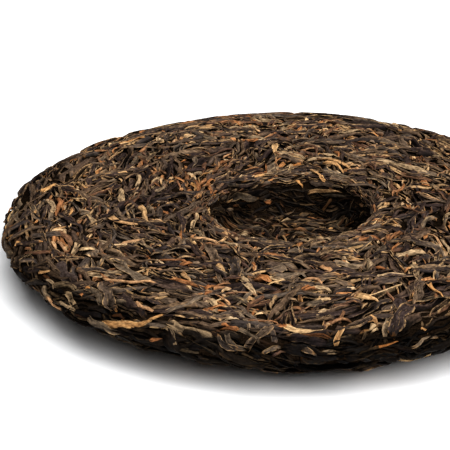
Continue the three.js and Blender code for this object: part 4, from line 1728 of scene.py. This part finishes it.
FINISHES = {
    ROLLED_DARK: DARK_FINISH,
    CURLED_DARK: DARK_FINISH,
    PLEATED_DARK: PLEATED_FINISH,
    BROWN: BROWN_FINISH,
    OLIVE: OLIVE_FINISH,
    GOLDEN: GOLDEN_FINISH,
    STEM: STEM_FINISH,
    SPLINTER: SPLINTER_FINISH,
    BROAD: BROAD_FINISH,
    CRUMB: CRUMB_FINISH,
}


@dataclass
class PressedCore:
    """The pressed mass under the leaves, seen only in the gaps between them: near black, as painted shade for
    those gaps.
    """

    surface: DiscSurface
    sectors: int = 300
    rings: int = 110
    least_height: float = 0.3  # over the floor, in millimetres
    grain_scale: tuple[float, float, float] = (4000.0, 1000.0, 1000.0)  # steps of the grain to a metre
    name: str = "pressed_core"

    def build(self) -> bpy.types.Object:
        """Make the core and dress it.

        Returns:
            The object, which stands for the solid disc.
        """
        along = np.linspace(0, self.surface.length, self.rings + 1)[1:-1]
        bearing = np.arange(self.sectors) * 2 * math.pi / self.sectors
        points = self._ring_points(along, bearing)
        top = self._level_point(Face.UPPER)
        bottom = self._level_point(Face.UNDER)
        vertices = np.concatenate([points.reshape(-1, 3), [top], [bottom]])
        vertices[:, 2] = np.maximum(vertices[:, 2], self.least_height)
        faces = self._faces(len(along))
        mesh = bpy.data.meshes.new(self.name)
        mesh.from_pydata((vertices * METRES).tolist(), [], faces)
        mesh.polygons.foreach_set("use_smooth", np.ones(len(mesh.polygons), bool))
        mesh.update()
        piece = bpy.data.objects.new(self.name, mesh)
        bpy.context.scene.collection.objects.link(piece)
        piece.data.materials.append(self._material())
        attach(piece, "root")
        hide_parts("tea_cake")
        return piece

    def _ring_points(self, along: np.ndarray, bearing: np.ndarray) -> np.ndarray:
        """Work out the rings of the core.

        Args:
            along: Where the rings lie along the half section.
            bearing: Bearings of the points of a ring, in radians.

        Returns:
            The points of each ring, in millimetres.
        """
        rings = []
        for length in along:
            face = Face.UPPER if length < self.surface.length / 2 else Face.UNDER
            reach = float(self.surface.reach(face, np.array(length)))
            x, y = reach * np.cos(bearing), reach * np.sin(bearing) * face.value
            level = core_relief(face, x, y) - LeafHeap.CORE_DEPTH
            rings.append(self.surface.place(face, x, y, level))
        return np.stack(rings)

    def _level_point(self, face: Face) -> np.ndarray:
        """Return the point of the core in the middle of a face."""
        zero = np.zeros(1)
        return self.surface.place(face, zero, zero, core_relief(face, zero, zero) - LeafHeap.CORE_DEPTH)[0]

    def _faces(self, rings: int) -> list[tuple[int, ...]]:
        """List the faces of the core: quads between the rings and a fan at each middle.

        Args:
            rings: How many rings the core has.

        Returns:
            The corners of each face, by number.
        """
        faces: list[tuple[int, ...]] = []
        for ring in range(rings - 1):
            for sector in range(self.sectors):
                after = (sector + 1) % self.sectors
                here, there = ring * self.sectors, (ring + 1) * self.sectors
                faces.append((here + sector, there + sector, there + after, here + after))
        last = (rings - 1) * self.sectors
        top, bottom = rings * self.sectors, rings * self.sectors + 1
        for sector in range(self.sectors):
            after = (sector + 1) % self.sectors
            faces.append((top, sector, after))
            faces.append((bottom, last + after, last + sector))
        return faces

    def _material(self) -> bpy.types.Material:
        """Build the finish of the core: packed scraps in near black, painted shade for the gaps between the
        leaves.

        Returns:
            The material.
        """
        material = bpy.data.materials.new(self.name)
        material.use_nodes = True
        material.node_tree.nodes.clear()
        board = NodeBoard(material.node_tree)
        place = board.add("ShaderNodeTexCoord").outputs["Object"]
        scaled = {0: place, 1: self.grain_scale}
        millimetres = board.add("ShaderNodeVectorMath", scaled, operation="MULTIPLY")
        grain = board.add("ShaderNodeGroup", node_tree=LeafGrainAndShade().build())
        board.feed(
            grain,
            {
                "Grain": millimetres.outputs[0],
                "Body": linear_colour(32, 24, 17),
                "Groove": linear_colour(10, 7, 4),
                "Worn": linear_colour(72, 54, 38),
                "End": linear_colour(72, 54, 38),
                "Wear": 0.4,
                "Fibres": 0.8,
            },
        )
        ribs = {"Strength": 0.8, "Distance": RIB_HEIGHT, "Height": grain.outputs["Height"]}
        bump = board.add("ShaderNodeBump", ribs)
        surface = board.add(
            "ShaderNodeBsdfPrincipled",
            {
                "Base Color": grain.outputs["Color"],
                "Roughness": grain.outputs["Roughness"],
                "Specular IOR Level": 0.0,
                "Normal": bump.outputs["Normal"],
            },
        )
        board.add("ShaderNodeOutputMaterial", {"Surface": surface.outputs[0]})
        return material


@dataclass
class LeafCoat:
    """Every leaf on the disc, laid in one heap and made as one object for each kind."""

    surface: DiscSurface
    rounds: int = 3  # in which the surface is laid, a part of every spread in each
    least_shown: float = 0.08  # share of a leaf that has to show for it to be made
    first_seed: int = 9000  # of the leaves that stand out in the photograph

    def build(self) -> list[bpy.types.Object]:
        """Lay the leaves and make the objects.

        Returns:
            One object for each kind of leaf.
        """
        heap = LeafHeap(self.surface)
        for spread in BED:
            heap.spread(spread)
        for _ in range(self.rounds):
            for spread in SURFACE:
                heap.spread(spread, 1 / self.rounds)
        for index, shown in enumerate(SHOWN_LEAVES):
            heap.lay(shown.leaf(self.first_seed + index))
        kept = [leaf for leaf in heap.leaves if heap.shown_share(leaf) > self.least_shown]
        log.info("%d leaves laid, %d show", len(heap.leaves), len(kept))
        shade = HeapShade(heap)
        pieces = []
        for kind in KINDS:
            own = [leaf for leaf in kept if leaf.kind is kind]
            piece = LeafPiece(self.surface, kind, own).build(shade, FINISHES[kind].material())
            triangles = sum(len(polygon.vertices) - 2 for polygon in piece.data.polygons)
            log.info("%s: %d leaves, %d triangles", kind.name, len(own), triangles)
            pieces.append(piece)
        return pieces


@dataclass
class Studio:
    """The floor, the light and the camera. Sizes are in metres, angles in degrees and light in watts."""

    elevation: float = 24.72
    distance: float = 0.6
    aim_height: float = 0.012
    yaw: float = 2.27
    pitch: float = 0.18
    roll: float = 1.38
    sensor: float = 36.0
    lens: float = 137.33
    floor_side: float = 6.0
    floor_colour: tuple[float, float, float, float] = (0.8, 0.803, 0.81, 1.0)
    light_place: tuple[float, float, float] = (0.9, -1.9, 3.0)
    light_side: float = 3.6
    light_power: float = 335.0
    wall_light: float = 0.06

    def build(self) -> None:
        """Make the floor, the light, the surroundings and the camera."""
        self._floor()
        self._light()
        self._surroundings()
        self._camera()

    def _floor(self) -> None:
        """Make the plain pale floor."""
        half = self.floor_side / 2
        mesh = bpy.data.meshes.new("floor")
        corners = [(-half, -half, 0), (half, -half, 0), (half, half, 0), (-half, half, 0)]
        mesh.from_pydata(corners, [], [(0, 1, 2, 3)])
        floor = bpy.data.objects.new("floor", mesh)
        bpy.context.scene.collection.objects.link(floor)
        material = bpy.data.materials.new("pale_floor")
        material.use_nodes = True
        surface = material.node_tree.nodes["Principled BSDF"]
        surface.inputs["Base Color"].default_value = self.floor_colour
        surface.inputs["Roughness"].default_value = 0.7
        surface.inputs["Specular IOR Level"].default_value = 0.2
        floor.data.materials.append(material)

    def _light(self) -> None:
        """Make the square soft light over the disc, which faces it."""
        light = bpy.data.lights.new("overhead", "AREA")
        light.shape = "SQUARE"
        light.size = self.light_side
        light.energy = self.light_power
        lamp = bpy.data.objects.new("overhead", light)
        lamp.location = self.light_place
        lamp.rotation_euler = (-Vector(self.light_place)).to_track_quat("-Z", "Y").to_euler()
        bpy.context.scene.collection.objects.link(lamp)

    def _surroundings(self) -> None:
        """Make the even light that comes from the walls."""
        world = bpy.data.worlds.new("studio")
        world.use_nodes = True
        walls = world.node_tree.nodes["Background"]
        walls.inputs["Color"].default_value = (1, 1, 1, 1)
        walls.inputs["Strength"].default_value = self.wall_light
        bpy.context.scene.world = world
        bpy.context.scene.view_settings.view_transform = "Standard"
        bpy.context.scene.view_settings.look = "Medium High Contrast"

    @staticmethod
    def _turned(first: Vector, second: Vector, angle: float) -> tuple[Vector, Vector]:
        """Turn two directions that stand square to each other, the first towards the second.

        Args:
            first: The first direction.
            second: The second direction.
            angle: The turn, in radians.

        Returns:
            Both directions after the turn.
        """
        cosine, sine = math.cos(angle), math.sin(angle)
        return first * cosine + second * sine, second * cosine - first * sine

    def _camera(self) -> None:
        """Make the camera at the photograph's viewing angle."""
        tilt = math.radians(self.elevation)
        place = Vector((0, -math.cos(tilt), math.sin(tilt))) * self.distance
        place.z += self.aim_height
        ahead = Vector((0, math.cos(tilt), -math.sin(tilt)))
        up = Vector((0, math.sin(tilt), math.cos(tilt)))
        right = Vector((1, 0, 0))
        yaw, pitch, roll = (math.radians(a) for a in (self.yaw, self.pitch, self.roll))
        right, ahead = self._turned(right, ahead, yaw)
        ahead, up = self._turned(ahead, up, pitch)
        right, up = self._turned(right, up, roll)
        lens = bpy.data.cameras.new("camera")
        lens.sensor_width = self.sensor
        lens.lens = self.lens
        camera = bpy.data.objects.new("camera", lens)
        turned = Matrix((right, up, -ahead)).transposed().to_4x4()
        camera.matrix_world = Matrix.Translation(place) @ turned
        bpy.context.scene.collection.objects.link(camera)
        bpy.context.scene.camera = camera


def main() -> None:
    """Build the disc and the studio, and log how many faces, leaves and triangles came out."""
    logging.basicConfig(level=logging.INFO, format="%(name)s %(message)s")
    surface = DiscSurface(DiscForm())
    core = PressedCore(surface).build()
    log.info("%s: %d faces", core.name, len(core.data.polygons))
    LeafCoat(surface).build()
    Studio().build()


if __name__ == "__main__":
    main()
